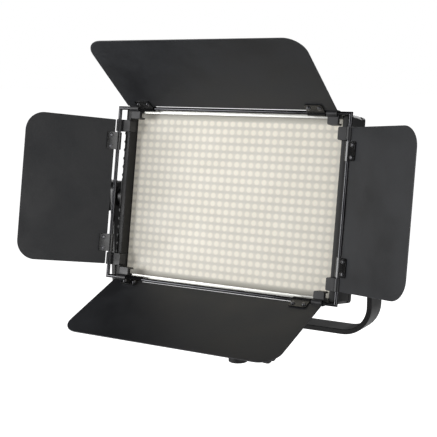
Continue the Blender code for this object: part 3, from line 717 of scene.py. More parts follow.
def node_copy(node: str) -> Shape:
    """Copy a frame node's mesh with its doubles merged and its flat faces joined.

    Args:
        node: the frame node's name.

    Returns:
        A shape that can be rounded and dressed.
    """
    shape = Shape()
    shape.bm.from_mesh(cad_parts[node].data)
    bmesh.ops.remove_doubles(shape.bm, verts=shape.bm.verts, dist=2e-6)
    bmesh.ops.dissolve_limit(shape.bm, angle_limit=math.radians(0.6), verts=shape.bm.verts,
                             edges=shape.bm.edges)
    for face in shape.bm.faces:
        face.material_index = 0
    return shape


# ---- barn doors, their hinges and their rod frame ---------------------------
class Side(Enum):
    """The four sides of the panel: turn of the edge's frame, half span and door opening."""

    LEFT = ("left", math.pi / 2, 122.1)
    RIGHT = ("right", -math.pi / 2, 147.3)
    TOP = ("top", math.pi, 121.8)
    BOTTOM = ("bottom", 0.0, 118.4)

    @property
    def long(self) -> bool:
        """Say whether the side is the top or the bottom."""
        return self in (Side.TOP, Side.BOTTOM)

    @property
    def edge(self) -> Matrix:
        """Give the frame of the rod on this side: X along the rod, Z in over the panel."""
        _, turn, _ = self.value
        if self.long:
            centre = (0, ROD_DEPTH, -math.cos(turn) * ROD_HALF_HEIGHT)
        else:
            centre = (-math.sin(turn) * ROD_HALF_WIDTH, ROD_DEPTH, 0)
        return PANEL @ at(*centre) @ Matrix.Rotation(turn, 4, "Y")

    @property
    def door(self) -> Matrix:
        """Give the frame of the door as it stands open at rest."""
        return self.edge @ Matrix.Rotation(math.radians(self.value[2]), 4, "X")


def rolled_strip(bends: list[tuple[str, float, float]], length: float, inner: float,
                 outer: float, curl: float) -> bmesh.types.BMesh:
    """Press a strip of steel: a sleeve rolled round the X axis with a tongue that leaves it.

    Args:
        bends: runs of the tongue, each "run" with a shift in Y and Z, or "turn" with the
            centre's distance beyond the strip's outer face and an angle in degrees.
        length: width of the strip along the X axis.
        inner: inner radius of the sleeve.
        outer: outer radius of the sleeve.
        curl: how far the sleeve goes round, in degrees.

    Returns:
        The strip's closed mesh, centred along X.
    """
    bm = bmesh.new()
    low, high = bm.verts.new((0, inner, 0)), bm.verts.new((0, outer, 0))
    start = bm.edges.new((low, high))
    bmesh.ops.spin(bm, geom=[low, high, start], cent=(0, 0, 0), axis=(1, 0, 0),
                   angle=-math.radians(curl), steps=22, use_merge=False, use_duplicate=False)
    last = start
    for kind, first, second in bends:
        if kind == "run":
            grown = bmesh.ops.extrude_edge_only(bm, edges=[last])
            bmesh.ops.translate(bm, vec=(0, first, second), verts=verts_of(grown))
            last = edges_of(grown)[0]
        else:
            far = max((v.co for v in last.verts), key=lambda co: co.y)
            grown = bmesh.ops.spin(bm, geom=list(last.verts) + [last],
                                   cent=(0, far.y + first, far.z), axis=(1, 0, 0),
                                   angle=-math.radians(second), steps=5, use_merge=False,
                                   use_duplicate=False)
            last = [g for g in grown["geom_last"] if isinstance(g, bmesh.types.BMEdge)][0]
    bmesh.ops.remove_doubles(bm, verts=bm.verts, dist=1e-7)
    sheet = bmesh.ops.extrude_face_region(bm, geom=bm.faces[:], use_keep_orig=True)
    bmesh.ops.translate(bm, vec=(length, 0, 0), verts=verts_of(sheet))
    bmesh.ops.translate(bm, vec=(-length / 2, 0, 0), verts=bm.verts)
    bmesh.ops.recalc_face_normals(bm, faces=bm.faces)
    return bm


@dataclass
class BarnDoor:
    """One sheet door with its two rolled hinges and their screws."""

    side: Side
    reach: float
    half_length: float
    taper: float
    hinge_place: float
    start: float = 0.0056
    corner: float = 0.025
    heel: float = 0.0015
    thick: float = 0.0012
    rim: float = 0.00045
    hinge_length: float = 0.0235
    hinge_reach: float = 0.017
    leaf_corner: float = 0.0022
    leaf_face: float = 0.0022
    screw_spread: float = 0.0074
    screw_height: float = 0.0112
    washer: tuple[float, float] = (0.0031, 0.0004)
    screw: tuple[float, float] = (0.0026, 0.0016)
    nut: tuple[float, float] = (0.0029, 0.0018)
    screw_tip: tuple[float, float] = (0.0015, 0.0026)

    def build(self) -> None:
        """Build the door's sheet and both hinges."""
        name = self.side.value[0]
        body = f"door_{name}"
        self.sheet().finish(f"door_sheet_{name}", body, "door_sheet", [Coat.DOOR, Coat.DOOR_EDGE],
                            (f"barn_door_{name}",), self.side.door)
        for number, way in ((1, -1), (2, 1)):
            place = self.side.door @ at(way * self.hinge_place, 0, 0)
            self.hinge().finish(f"hinge_{name}_{number}", body, "hinge_steel",
                                [Coat.STEEL, Coat.SCREW],
                                (f"door_hinge_{name}_{number}",), place, edge=0.00022)

    def sheet(self) -> Shape:
        """Cut the sheet, round its corners and break its edges.

        Returns:
            The door's sheet in its own frame.
        """
        tall = self.reach - self.start
        bm = bmesh.new()
        bmesh.ops.create_cube(bm, size=1.0, matrix=Matrix.LocRotScale(
            (0, 0, 0), None, (2 * self.half_length, tall, self.thick)))
        tip = (self.half_length - self.taper) / self.half_length
        bmesh.ops.scale(bm, vec=(tip, 1, 1), verts=[v for v in bm.verts if v.co.y > 0])
        for upper, radius, steps in ((True, self.corner, 16), (False, self.heel, 4)):
            upright = [e for e in bm.edges if e.calc_length() < 1.01 * self.thick
                       and (e.verts[0].co.y > 0) == upper
                       and abs(e.verts[0].co.y) > tall / 2 - 1e-6]
            round_over(bm, upright, radius, steps)
        # The rounded rims take the second finish: a painted highlight along the edge.
        for face in round_over(bm, sharp_edges(bm), self.rim, 2):
            face.material_index = 1
        bmesh.ops.translate(bm, vec=(0, self.start + tall / 2, 0), verts=bm.verts)
        return Shape().add(bm, FACING_BACK)

    def hinge(self) -> Shape:
        """Roll one hinge, round its leaf and set its screws, heads inside and nuts outside.

        Returns:
            The hinge in the door's frame.
        """
        leaf = rolled_strip([("run", -0.0004, 0.0014), ("run", -0.0015, 0.0030),
                             ("run", 0.0, self.hinge_reach - 0.0044)],
                            self.hinge_length, SLEEVE_BORE, SLEEVE_RADIUS, 318)
        ends = [e for e in leaf.edges if all(v.co.z > self.hinge_reach - 1e-5 for v in e.verts)
                and abs(e.verts[0].co.x - e.verts[1].co.x) < 1e-6]
        round_over(leaf, ends, self.leaf_corner, 5)
        shape = Shape().add(leaf)
        for way in (-1, 1):
            spot = at(way * self.screw_spread, 0.0, self.screw_height)
            inside = spot @ at(0, self.leaf_face, 0) @ FACING_BACK
            outside = spot @ at(0, -self.thick / 2, 0) @ FACING_FRONT
            shape.add(post(*self.washer, 0.0001, 24), inside, 1)
            shape.add(screw_head(*self.screw), inside @ at(0, 0, self.washer[1]), 1)
            shape.add(post(*self.nut, 0.0003, 6), outside, 1)
            shape.add(post(*self.screw_tip, 0.0003, 16), outside, 1)
        return shape


@dataclass
class RodFrame:
    """The closed loop of rod round the panel's face, and the eight clips that hold it."""

    sides: int = 24
    long_clip: tuple[float, float, float] = (0.1453, 0.0142, 0.0137)
    side_clip: tuple[float, float, float] = (0.0910, 0.0160, 0.0162)
    block_front: float = 0.0018
    block_back: float = 0.0072
    hook_depth: float = 0.008
    hook_thick: float = 0.0022
    foot: float = 0.0030

    def build(self) -> None:
        """Build the rod and the clips."""
        self.rod().finish("rod_loop", "panel", "rod_steel", [Coat.ROD], ("rod_frame",), PANEL)
        for side in Side:
            place, length, reach = self.long_clip if side.long else self.side_clip
            name = side.value[0]
            for number, way in ((1, -1), (2, 1)):
                self.clip(length, reach).finish(
                    f"clip_{name}_{number}", "panel", "hinge_steel", [Coat.CLIP],
                    (f"frame_clip_{name}_{number}",), side.edge @ at(way * place, 0, 0),
                    edge=0.0003)

    def rod(self) -> Shape:
        """Join four lengths of rod with mitred corners, each ground flush at its weld.

        Returns:
            The loop in the panel's frame.
        """
        bm = bmesh.new()
        rings = []
        for across, up in ((-1, -1), (1, -1), (1, 1), (-1, 1)):
            corner = at(across * ROD_HALF_WIDTH, ROD_DEPTH, up * ROD_HALF_HEIGHT)
            mitre = axes((across, 0, up), (0, 1, 0), (-up, 0, across))
            ring = bmesh.ops.create_circle(bm, segments=self.sides, radius=ROD_RADIUS,
                                           matrix=corner @ mitre)
            rings.append({e for v in ring["verts"] for e in v.link_edges})
        for ring, following in zip(rings, rings[1:] + rings[:1]):
            bmesh.ops.bridge_loops(bm, edges=list(ring | following))
        bm.edges.index_update()
        corners = sorted((edge for ring in rings for edge in ring), key=lambda edge: edge.index)
        round_over(bm, corners, 0.0003, 2)
        bmesh.ops.recalc_face_normals(bm, faces=bm.faces)
        return Shape().add(bm)

    def clip(self, length: float, reach: float) -> Shape:
        """Cast one clip: a sleeve on the rod, a block behind it and a hook over the lip.

        Args:
            length: the clip's width along the rod.
            reach: how far the block goes in over the case.

        Returns:
            The clip in the frame of its edge.
        """
        bm = bmesh.new()
        tip = self.block_back + self.hook_depth
        start = math.acos(self.block_front / SLEEVE_RADIUS)
        count = 22
        turns = [start + (1.5 * math.pi - start) * i / count for i in range(count + 1)]
        outline = [(SLEEVE_RADIUS * math.cos(turn), SLEEVE_RADIUS * math.sin(turn))
                   for turn in turns]
        outline += [(self.block_back, -SLEEVE_RADIUS),
                    (self.block_back, reach - self.hook_thick),
                    (tip, reach - self.hook_thick), (tip, reach), (self.block_front, reach)]
        face = bm.faces.new([bm.verts.new((-length / 2, y, z)) for y, z in outline])
        grown = bmesh.ops.extrude_face_region(bm, geom=[face], use_keep_orig=True)
        bmesh.ops.translate(bm, vec=(length, 0, 0), verts=verts_of(grown))
        upright = [e for e in bm.edges if all(abs(v.co.z - reach) < 1e-6 for v in e.verts)
                   and abs(e.verts[0].co.x - e.verts[1].co.x) < 1e-6]
        round_over(bm, upright, self.foot, 5)
        bmesh.ops.recalc_face_normals(bm, faces=bm.faces)
        bore = post(SLEEVE_BORE, length + 0.002, 0.0, 28)
        bmesh.ops.transform(bore, verts=bore.verts, matrix=at(-length / 2 - 0.001, 0, 0)
                            @ ALONG_X)
        return Shape().add(bm).drill([bore])


# ---- case ------------------------------------------------------------------
@dataclass
class Case:
    """The moulded side caps and rear cover, the extruded rails and their screws."""

    half_width: float = 0.164
    half_height: float = 0.1165
    screw_inset: float = 0.011
    middle_screw: float = 0.072
    screw_seat: float = 0.0008
    vents_each_way: int = 4
    vent_first: float = 0.070
    vent_pitch: float = 0.008
    mesh_bars: int = 21
    mesh_pitch: float = 0.0058
    mesh_depth: float = 0.0040

    def build(self) -> None:
        """Build the shell of the panel."""
        for side in ("left", "right"):
            node_copy(f"side_cap_{side}").finish(
                f"case_side_{side}", "panel", "case_plastic", [Coat.CASE],
                (f"side_cap_{side}",), edge=0.00045)
        for side in ("top", "bottom"):
            node_copy(f"rail_{side}").finish(f"case_rail_{side}", "panel", "bare_aluminium",
                                             [Coat.ALUMINIUM], (f"rail_{side}",), edge=0.00025)
        node_copy("rear_cover").finish("case_back", "panel", "case_plastic", [Coat.CASE],
                                       ("rear_cover",), edge=0.0005)
        self.screws()
        self.vent_screens()

    def screws(self) -> None:
        """Set the countersunk screws of the rear cover."""
        shape = Shape()
        x, z = self.half_width - self.screw_inset, self.half_height - self.screw_inset
        for column, row in product((-x, -self.middle_screw, self.middle_screw, x), (-z, z)):
            seat = at(column, CASE_REAR - self.screw_seat, row) @ FACING_BACK
            shape.add(post(0.0038, 0.0005, 0.0002, 28, 0.0034), seat)
            shape.add(screw_head(0.0026, 0.0013, 0.7), seat @ at(0, 0, 0.0004))
        shape.finish("back_screws", "panel", "zinc_steel", [Coat.SCREW], (), PANEL)

    def vent_screens(self) -> None:
        """Stretch a dust screen behind each group of slots."""
        shape = Shape()
        for way in (-1, 1):
            for i in range(self.vents_each_way):
                height = way * (self.vent_first + self.vent_pitch * i)
                for k in range(self.mesh_bars):
                    x = (k - self.mesh_bars // 2) * self.mesh_pitch
                    shape.add(plate(0.0009, 0.0052, 0.0008, 0.0, 0.0002),
                              at(x, CASE_REAR - self.mesh_depth, height) @ FACING_BACK)
        shape.finish("vent_screens", "panel", "case_plastic", [Coat.CASE], (), PANEL)


# ---- light engine ------------------------------------------------------------
@dataclass
class LightEngine:
    """The frosted sheet, the LED board with its LEDs, and the heat sink and drivers behind."""

    sheet: tuple[float, float] = (0.3104, 0.2200)
    sheet_back: float = 0.0005
    board: tuple[float, float] = (0.3100, 0.2160)
    board_front: float = 0.0028
    board_thick: float = 0.0016
    led: float = 0.0035
    circuit_front: float = 0.0200
    pot_seat: float = 0.0219

    def build(self) -> None:
        """Build everything between the face and the rear cover."""
        Shape().add(plate(*self.sheet, 0.0015, 0.001, 0.0003),
                    at(0, self.sheet_back, 0) @ FACING_FRONT).finish(
            "frosted_sheet", "panel", "diffuser_acrylic", [Coat.DIFFUSER],
            ("diffuser_sheet",), PANEL)
        Shape().add(plate(*self.board, self.board_thick, 0.001, 0.0002),
                    at(0, self.board_front + self.board_thick, 0) @ FACING_FRONT).finish(
            "led_circuit_board", "panel", "circuit_board", [Coat.WHITE_BOARD],
            ("led_board",), PANEL)
        self.leds().finish("leds", "panel", "circuit_board",
                           [Coat.WHITE_BOARD, Coat.WARM_LED, Coat.COOL_LED], (), PANEL)
        node_copy("heat_sink").finish("finned_heat_sink", "panel", "bare_aluminium",
                                      [Coat.ALUMINIUM], ("heat_sink",), edge=0.0002, steps=1)
        self.drivers()

    def leds(self) -> Shape:
        """Solder one LED package at each place, warm and cool in turn.

        Returns:
            All the LEDs in the panel's frame.
        """
        shape = Shape()
        for row in range(LED_ROWS):
            for column in range(LED_COLUMNS):
                x = (column - (LED_COLUMNS - 1) / 2) * LED_PITCH
                z = (row - (LED_ROWS - 1) / 2) * LED_PITCH
                body = plate(self.led, self.led * 0.8, 0.0008, 0.0, 0.0002)
                top = [f for f in body.faces if f.normal.z > 0.9 and f.calc_area() > 4e-6]
                bmesh.ops.inset_region(body, faces=top, thickness=0.00045, depth=0.0)
                bmesh.ops.inset_region(body, faces=top, thickness=0.0002, depth=-0.00015)
                for face in top:
                    face.material_index = 1 + (row + column) % 2
                shape.add(body, at(x, self.board_front, z) @ FACING_FRONT)
        return shape

    def drivers(self) -> None:
        """Build the driver board and the control board with their parts."""
        for name, width, height, centre in (("driver", 0.250, 0.054, 0.073),
                                            ("control", 0.100, 0.085, 0.0005)):
            Shape().add(plate(width, height, self.board_thick, 0.002, 0.0002),
                        at(0, self.circuit_front, centre) @ FACING_BACK).finish(
                f"{name}_circuit_board", "panel", "circuit_board", [Coat.GREEN_BOARD],
                (f"{name}_board",), PANEL)
        parts = Shape()
        for k in range(6):
            seat = at(0.040 * k - 0.100, self.circuit_front + self.board_thick, 0.086) @ FACING_BACK
            parts.add(post(0.0050, 0.0090, 0.0006, 24), seat)
            parts.add(plate(0.011, 0.011, 0.0055, 0.0015, 0.0005), seat @ at(0.018, -0.004, 0))
            parts.add(plate(0.005, 0.004, 0.0015, 0.0, 0.0002), seat @ at(0.004, -0.020, 0))
            parts.add(plate(0.006, 0.009, 0.0018, 0.0, 0.0002), seat @ at(-0.010, -0.022, 0))
        parts.finish("driver_parts", "panel", "circuit_board", [Coat.GRIP], (), PANEL)
        for dial, x in DIAL_PLACES.items():
            pot = turned([(0.0033, 0.0125), (0.0072, 0.0125), (0.0080, 0.0117),
                          (0.0080, 0.0012), (0.0072, 0.0005), (0.0033, 0.0005),
                          (0.0033, 0.0125)], 28)
            Shape().add(pot, at(x, self.pot_seat, DIAL_HEIGHT) @ FACING_BACK).finish(
                f"{dial}_pot", "panel", "zinc_steel", [Coat.ZINC],
                (f"{dial}_potentiometer",), PANEL)


# ---- controls at the back ---------------------------------------------------
@dataclass
class Controls:
    """The control plate with its display, dials, rocker and power inlet."""

    face: float = CONTROL_FACE
    seat_gap: float = 0.0003
    display_centre: float = 0.0275
    digit_pitch: float = 0.009
    digit_half: tuple[float, float] = (0.0024, 0.0052)
    knurls: int = 24
    knurl_depth: float = 0.00028
    scale_radius: float = 0.0134
    rocker: tuple[float, float] = (0.024, -0.0275)
    rocker_lean: float = math.radians(8)
    inlet: tuple[float, float] = (-0.026, -0.028)

    def build(self) -> None:
        """Build the control plate and what sits on it."""
        node_copy("control_plate").finish("control_fascia", "panel", "case_plastic", [Coat.GRIP],
                                          ("control_plate",), edge=0.0003)
        self.display()
        for name, x in DIAL_PLACES.items():
            seat = PANEL @ at(x, self.face + self.seat_gap, DIAL_HEIGHT) @ FACING_BACK
            self.dial().finish(f"{name}_dial_grip", f"{name}_dial", "knob_plastic",
                               [Coat.GRIP, Coat.INK], (f"{name}_knob",), seat)
        self.marks()
        self.power()

    def display(self) -> None:
        """Build the display's window and the bars of its number behind it."""
        window = plate(0.050, 0.024, 0.0022, 0.0012, 0.0004)
        shape = Shape().add(window, at(0, CASE_REAR + self.seat_gap, self.display_centre)
                            @ FACING_BACK)
        shape.finish("display_pane", "panel", "display_glass", [Coat.WINDOW],
                     ("display_window",), PANEL)
        bars = Shape()
        lit = {"1": ((-1, 1), (-1, -1)), "0": ((1, 1), (-1, 1), (1, -1), (-1, -1))}
        across, tall = self.digit_half
        for place, digit in enumerate("100"):
            centre = at((1.5 - place) * self.digit_pitch, 0.0405, self.display_centre)
            for side, half in lit[digit]:
                bars.add(plate(0.0009, 0.0042, 0.0002, 0.0004),
                         centre @ at(side * across, 0, half * tall / 2) @ FACING_BACK)
            for level in (1, -1) if digit == "0" else ():
                bars.add(plate(0.0038, 0.0009, 0.0002, 0.0004),
                         centre @ at(0, 0, level * tall) @ FACING_BACK)
        bars.finish("display_number", "panel", "display_glass", [Coat.INK], (), PANEL)

    def dial(self) -> Shape:
        """Turn one dial and knurl its side, with an index line on its top.

        Returns:
            The dial on the Z axis.
        """
        body = turned([(0.0, 0.0130), (0.0078, 0.0130), (0.0085, 0.0127), (0.0092, 0.0118),
                       (0.0105, 0.0022), (0.0112, 0.0014), (0.0115, 0.0008), (0.0115, 0.0),
                       (0.003, 0.0), (0.003, -0.0150), (0.0, -0.0150)], 72)
        for vert in body.verts:
            flat = vert.co.to_2d()
            if 0.003 < vert.co.z < 0.0125 and flat.length > 0.008:
                wave = math.cos(self.knurls * math.atan2(flat.y, flat.x)) - 1
                vert.co.xy = flat * (1 + self.knurl_depth * wave / flat.length)
        shape = Shape().add(body)
        shape.add(plate(0.0011, 0.0062, 0.0002, 0.0005), at(0, 0.0046, 0.0129), 1)
        return shape

    def marks(self) -> None:
        """Print a scale of short lines round each dial."""
        ink = Shape()
        for x in DIAL_PLACES.values():
            for k in range(11):
                turn = Matrix.Rotation(math.radians(150 - 30 * k), 4, "Z")
                size = 0.0026 if k % 5 == 0 else 0.0014
                seat = at(x, self.face - 0.00005, DIAL_HEIGHT) @ FACING_BACK @ turn
                ink.add(plate(0.0005, size, 0.0001), seat @ at(0, self.scale_radius + size / 2, 0))
        ink.finish("dial_scales", "panel", "case_plastic", [Coat.INK], (), PANEL)

    def power(self) -> None:
        """Build the rocker with its two signs and its bezel, and the power inlet with its pin."""
        x, z = self.rocker
        rocker = node_copy("power_rocker")
        rest = (PANEL @ at(x, CASE_REAR + 0.0005, z)
                @ Matrix.Rotation(self.rocker_lean, 4, "X"))
        for height in (0.0047, -0.0047):
            mark = (post(0.0015, 0.0001, 0.0, 20) if height < 0
                    else plate(0.0006, 0.003, 0.0001))
            lean = Matrix.Rotation(math.radians(14 if height > 0 else -14), 4, "X")
            rocker.add(mark, rest @ at(0, 0.0041, height) @ lean @ FACING_BACK, 1)
        rocker.finish("rocker_cap", "power_switch", "knob_plastic", [Coat.GRIP, Coat.INK],
                      ("power_rocker",), edge=0.0003)
        node_copy("rocker_bezel").finish("rocker_frame", "panel", "case_plastic", [Coat.CASE],
                                         ("rocker_bezel",), edge=0.0003)
        x, z = self.inlet
        seat = at(x, self.face + self.seat_gap, z) @ FACING_BACK
        socket = turned([(0.0045, 0.0021), (0.0049, 0.0025), (0.0080, 0.0025), (0.0088, 0.0020),
                         (0.0090, 0.0013), (0.0090, 0.0), (0.0065, 0.0), (0.0065, -0.0120),
                         (0.0045, -0.0120), (0.0045, 0.0021)], 40)
        pin = turned([(0.0, 0.0002), (0.0006, 0.0), (0.0010, -0.0006), (0.0010, -0.0120),
                      (0.0, -0.0120)], 20)
        floor = post(0.0048, 0.0006, 0.0, 28)
        Shape().add(socket, seat).add(pin, seat, 1).add(floor, seat @ at(0, 0, -0.0122)).finish(
            "inlet_socket", "panel", "case_plastic", [Coat.GRIP, Coat.ZINC],
            ("power_inlet",), PANEL)


@dataclass
class BatteryMount:
    """One slide-in battery plate with its contact blades and its release button."""

    side: str
    sign: int
    place: float = 0.102
    height: float = 0.005
    base: float = 0.0418

    def build(self) -> None:
        """Build the plate, its contacts and the button."""
        node_copy(f"battery_plate_{self.side}").finish(
            f"battery_seat_{self.side}", "panel", "case_plastic", [Coat.CASE],
            (f"battery_plate_{self.side}",), edge=0.00045)
        trim = Shape()
        for k in range(3):
            blade = at(self.sign * self.place + (k - 1) * 0.0075, self.base - 0.0002,
                       self.height - 0.020)
            trim.add(plate(0.0042, 0.010, 0.0022, 0.0008, 0.0003), blade @ FACING_BACK)
            trim.add(plate(0.0012, 0.009, 0.0030, 0.0004, 0.0002), blade @ FACING_BACK, 1)
        for way in (-1, 1):
            rail = at(self.sign * self.place + way * 0.0125, self.base - 0.0002, self.height)
            trim.add(plate(0.0016, 0.050, 0.0010, 0.0006, 0.0003), rail @ FACING_BACK)
            for end in (-1, 1):
                screw = at(self.sign * self.place + way * 0.0155, self.base - 0.0001,
                           self.height + end * 0.028) @ FACING_BACK
                trim.add(screw_head(0.0022, 0.0012), screw, 2)
        trim.finish(f"battery_contacts_{self.side}", "panel", "case_plastic",
                    [Coat.GRIP, Coat.CONTACT, Coat.SCREW], (), PANEL)
        button = Shape().add(plate(0.014, 0.009, 0.0028, 0.0016, 0.0006))
        for k in range(4):
            button.add(plate(0.010, 0.0009, 0.0006, 0.0004, 0.0002),
                       at(0, -0.0027 + 0.0018 * k, 0.0026))
        spot = at(self.sign * self.place, self.base + 0.0003, self.height + 0.025)
        button.finish(f"battery_button_{self.side}", f"battery_latch_{self.side}",
                      "rubber_parts", [Coat.RUBBER], (f"battery_release_{self.side}",),
                      PANEL @ spot @ FACING_BACK)


# ---- bracket, pivots and receiver --------------------------------------------
def lobed_grip(radius: float, hollow: float, lobes: int, rings: list[tuple[float, float]],
               steps: int = 12) -> bmesh.types.BMesh:
    """Mould a grip with shallow finger hollows and a crowned face.

    Args:
        radius: the grip's largest radius.
        hollow: depth of a finger hollow.
        lobes: how many lobes it has.
        rings: height and share of the full size of each ring, from the foot to the crown.
        steps: points in each lobe.

    Returns:
        The grip on the Z axis, closed at both ends.
    """
    bm = bmesh.new()
    start = bmesh.ops.create_circle(bm, segments=lobes * steps, radius=radius)
    for vert in start["verts"]:
        angle = math.atan2(vert.co.y, vert.co.x)
        dip = hollow * (0.5 + 0.5 * math.cos(lobes * angle)) ** 2
        vert.co.xy = vert.co.xy * (1 - dip / radius)
    outline = {v: v.co.to_2d() for v in start["verts"]}
    order = list(outline)
    loop = list({e for v in order for e in v.link_edges})
    base_height, base_scale = rings[0]
    for vert, flat in outline.items():
        vert.co = (flat.x * base_scale, flat.y * base_scale, base_height)
    bottom = loop
    previous_scale, previous_height = base_scale, base_height
    for height, scale in rings[1:]:
        grown = bmesh.ops.extrude_edge_only(bm, edges=loop)
        ring = verts_of(grown)
        ratio = scale / previous_scale
        bmesh.ops.scale(bm, vec=(ratio, ratio, 1), verts=ring)
        bmesh.ops.translate(bm, vec=(0, 0, height - previous_height), verts=ring)
        inside = set(ring)
        loop = [e for e in edges_of(grown) if all(v in inside for v in e.verts)]
        previous_scale, previous_height = scale, height
    bmesh.ops.contextual_create(bm, geom=bottom)
    bmesh.ops.contextual_create(bm, geom=loop)
    bmesh.ops.recalc_face_normals(bm, faces=bm.faces)
    return bm


@dataclass
class Bracket:
    """The flat bar bent to a U, with the receiver under it."""

    half_width: float = 0.197
    thick: float = 0.0065
    depth: float = 0.034
    bend: float = 0.039
    bottom: float = 0.063
    top: float = 0.234
    leg_corner: float = 0.014
    lock_height: float = 0.024
    spigot: float = 0.0082
    gap: float = 0.0003

    def build(self) -> None:
        """Build the bar, the receiver, its bolt and its lock."""
        bar = self.bar()
        places = [at(sign * self.half_width - 0.01, 0, PIVOT.z) @ ALONG_X for sign in (-1, 1)]
        places.append(at(0, 0, self.bottom - 0.005))
        bits = []
        for place in places:
            bit = post(SCREW_HOLE, 0.02, 0.0, 32)
            bmesh.ops.transform(bit, matrix=place, verts=bit.verts)
            bits.append(bit)
        bar.drill(bits).finish("bracket_bar", "bracket", "bracket_alloy", [Coat.BAR],
                               ("u_bracket",), edge=0.0009, steps=3)
        self.receiver()
        self.lock()

    def bar(self) -> Shape:
        """Bend the bar: a leg, a bend, the crosspiece, a bend and the other leg.

        Returns:
            The bar in the row's frame.
        """
        bm = bmesh.new()
        start = bmesh.ops.create_grid(bm, x_segments=1, y_segments=1, size=0.5)
        bmesh.ops.transform(bm, verts=start["verts"], matrix=Matrix.LocRotScale(
            (self.thick / 2 - self.half_width, 0, self.top), None, (self.thick, self.depth, 1)))
        section = bm.faces[:]
        straight = self.top - self.bottom - self.bend
        middle = 2 * (self.half_width - self.bend)
        for shift, centre in (((0, 0, -straight), self.bend - self.half_width),
                              ((middle, 0, 0), self.half_width - self.bend),
                              ((0, 0, straight), None)):
            grown = bmesh.ops.extrude_face_region(bm, geom=section)
            bmesh.ops.translate(bm, vec=shift, verts=verts_of(grown))
            section = [f for f in grown["geom"] if isinstance(f, bmesh.types.BMFace)]
            if centre is not None:
                around = section + [e for f in section for e in f.edges]
                around += [v for f in section for v in f.verts]
                bent = bmesh.ops.spin(bm, geom=list(dict.fromkeys(around)),
                                      cent=(centre, 0, self.bottom + self.bend),
                                      axis=(0, 1, 0), angle=-math.pi / 2, steps=20,
                                      use_merge=False, use_duplicate=False)
                section = [f for f in bent["geom_last"] if isinstance(f, bmesh.types.BMFace)]
        bmesh.ops.remove_doubles(bm, verts=bm.verts, dist=1e-7)
        inner = [f for f in bm.faces if all(len(e.link_faces) > 2 for e in f.edges)]
        bmesh.ops.delete(bm, geom=inner, context="FACES_ONLY")
        corners = [e for e in bm.edges if all(v.co.z > self.top - 1e-5 for v in e.verts)
                   and abs(e.verts[0].co.y - e.verts[1].co.y) < 1e-6]
        round_over(bm, corners, self.leg_corner, 10)
        bmesh.ops.recalc_face_normals(bm, faces=bm.faces)
        return Shape().add(bm)

    def receiver(self) -> None:
        """Turn the stand receiver with its grooves and lip, and the bolt above it."""
        top = self.bottom - self.gap
        body = turned([(self.spigot, 0.0), (0.0124, 0.0), (0.0130, 0.0006), (0.0130, 0.0085),
                       (0.0126, 0.0090), (0.0126, 0.0100), (0.0130, 0.0105), (0.0130, 0.0375),
                       (0.0126, 0.0380), (0.0126, 0.0390), (0.0130, 0.0395),
                       (0.0130, top - 0.0008), (0.0122, top), (SCREW_HOLE, top),
                       (SCREW_HOLE, top - 0.012), (0.0, top - 0.0135)], 64)
        hollow = turned([(self.spigot, 0.0), (self.spigot, 0.044), (self.spigot - 0.0008, 0.045),
                         (0.0, 0.045)], 64)
        bmesh.ops.reverse_faces(hollow, faces=hollow.faces)
        shape = Shape().add(body).add(hollow)
        bmesh.ops.remove_doubles(shape.bm, verts=shape.bm.verts, dist=1e-6)
        bit = post(SCREW_HOLE, 0.02, 0.0, 32)
        bmesh.ops.transform(bit, matrix=at(0, 0, self.lock_height) @ ALONG_X, verts=bit.verts)
        bmesh.ops.recalc_face_normals(shape.bm, faces=shape.bm.faces)
        shape.drill([bit]).finish("receiver_socket", "bracket", "bracket_alloy", [Coat.BAR],
                                  ("stand_receiver",))
        seat = self.bottom + self.thick + self.gap
        bolt = turned([(0.0, seat + 0.0028), (0.0022, seat + 0.0028), (0.0026, seat + 0.0044),
                       (0.0040, seat + 0.0042), (0.0060, seat + 0.0033), (0.0073, seat + 0.0014),
                       (0.0075, seat + 0.0006), (0.0075, seat), (SCREW_RADIUS, seat),
                       (SCREW_RADIUS, self.bottom - 0.010), (0.0, self.bottom - 0.010)], 36)
        Shape().add(bolt).finish("bracket_bolt", "bracket", "zinc_steel", [Coat.ZINC],
                                 ("receiver_bolt",))

    def lock(self) -> None:
        """Mould the receiver's star knob on its threaded screw."""
        place = at(0, 0, self.lock_height) @ ALONG_X
        rings = [(0.0380, 0.62), (0.0392, 0.86), (0.0405, 0.94), (0.0425, 0.985), (0.0450, 1.0),
                 (0.0490, 1.0), (0.0512, 0.975), (0.0526, 0.91), (0.0533, 0.80),
                 (0.0535, 0.62), (0.0531, 0.50), (0.0527, 0.30)]
        grip = lobed_grip(0.0200, 0.0045, 6, rings)
        Shape().add(grip, place).finish("receiver_star_knob", "receiver_lock", "knob_plastic",
                                        [Coat.GRIP], ("receiver_knob",))
        self.thread(0.0095, 0.0400).finish("receiver_thread", "receiver_lock", "zinc_steel",
                                           [Coat.ZINC], ("receiver_screw",), place)

    @staticmethod
    def thread(low: float, high: float, radius: float = SCREW_RADIUS,
               pitch: float = 0.00125) -> Shape:
        """Turn a threaded screw as a stack of ridges.

        Args:
            low: height of its tip.
            high: height of its other end.
            radius: its outer radius.
            pitch: distance between ridges.

        Returns:
            The screw on the Z axis.
        """
        root = radius - 0.0005
        profile = [(0.0, low), (root - 0.0006, low), (root, low + 0.0006)]
        height = low + 0.0008
        while height + pitch < high - 0.0005:
            profile += [(radius, height + 0.45 * pitch), (root, height + 0.95 * pitch)]
            height += pitch
        profile += [(root, high), (0.0, high)]
        return Shape().add(turned(profile, 24))


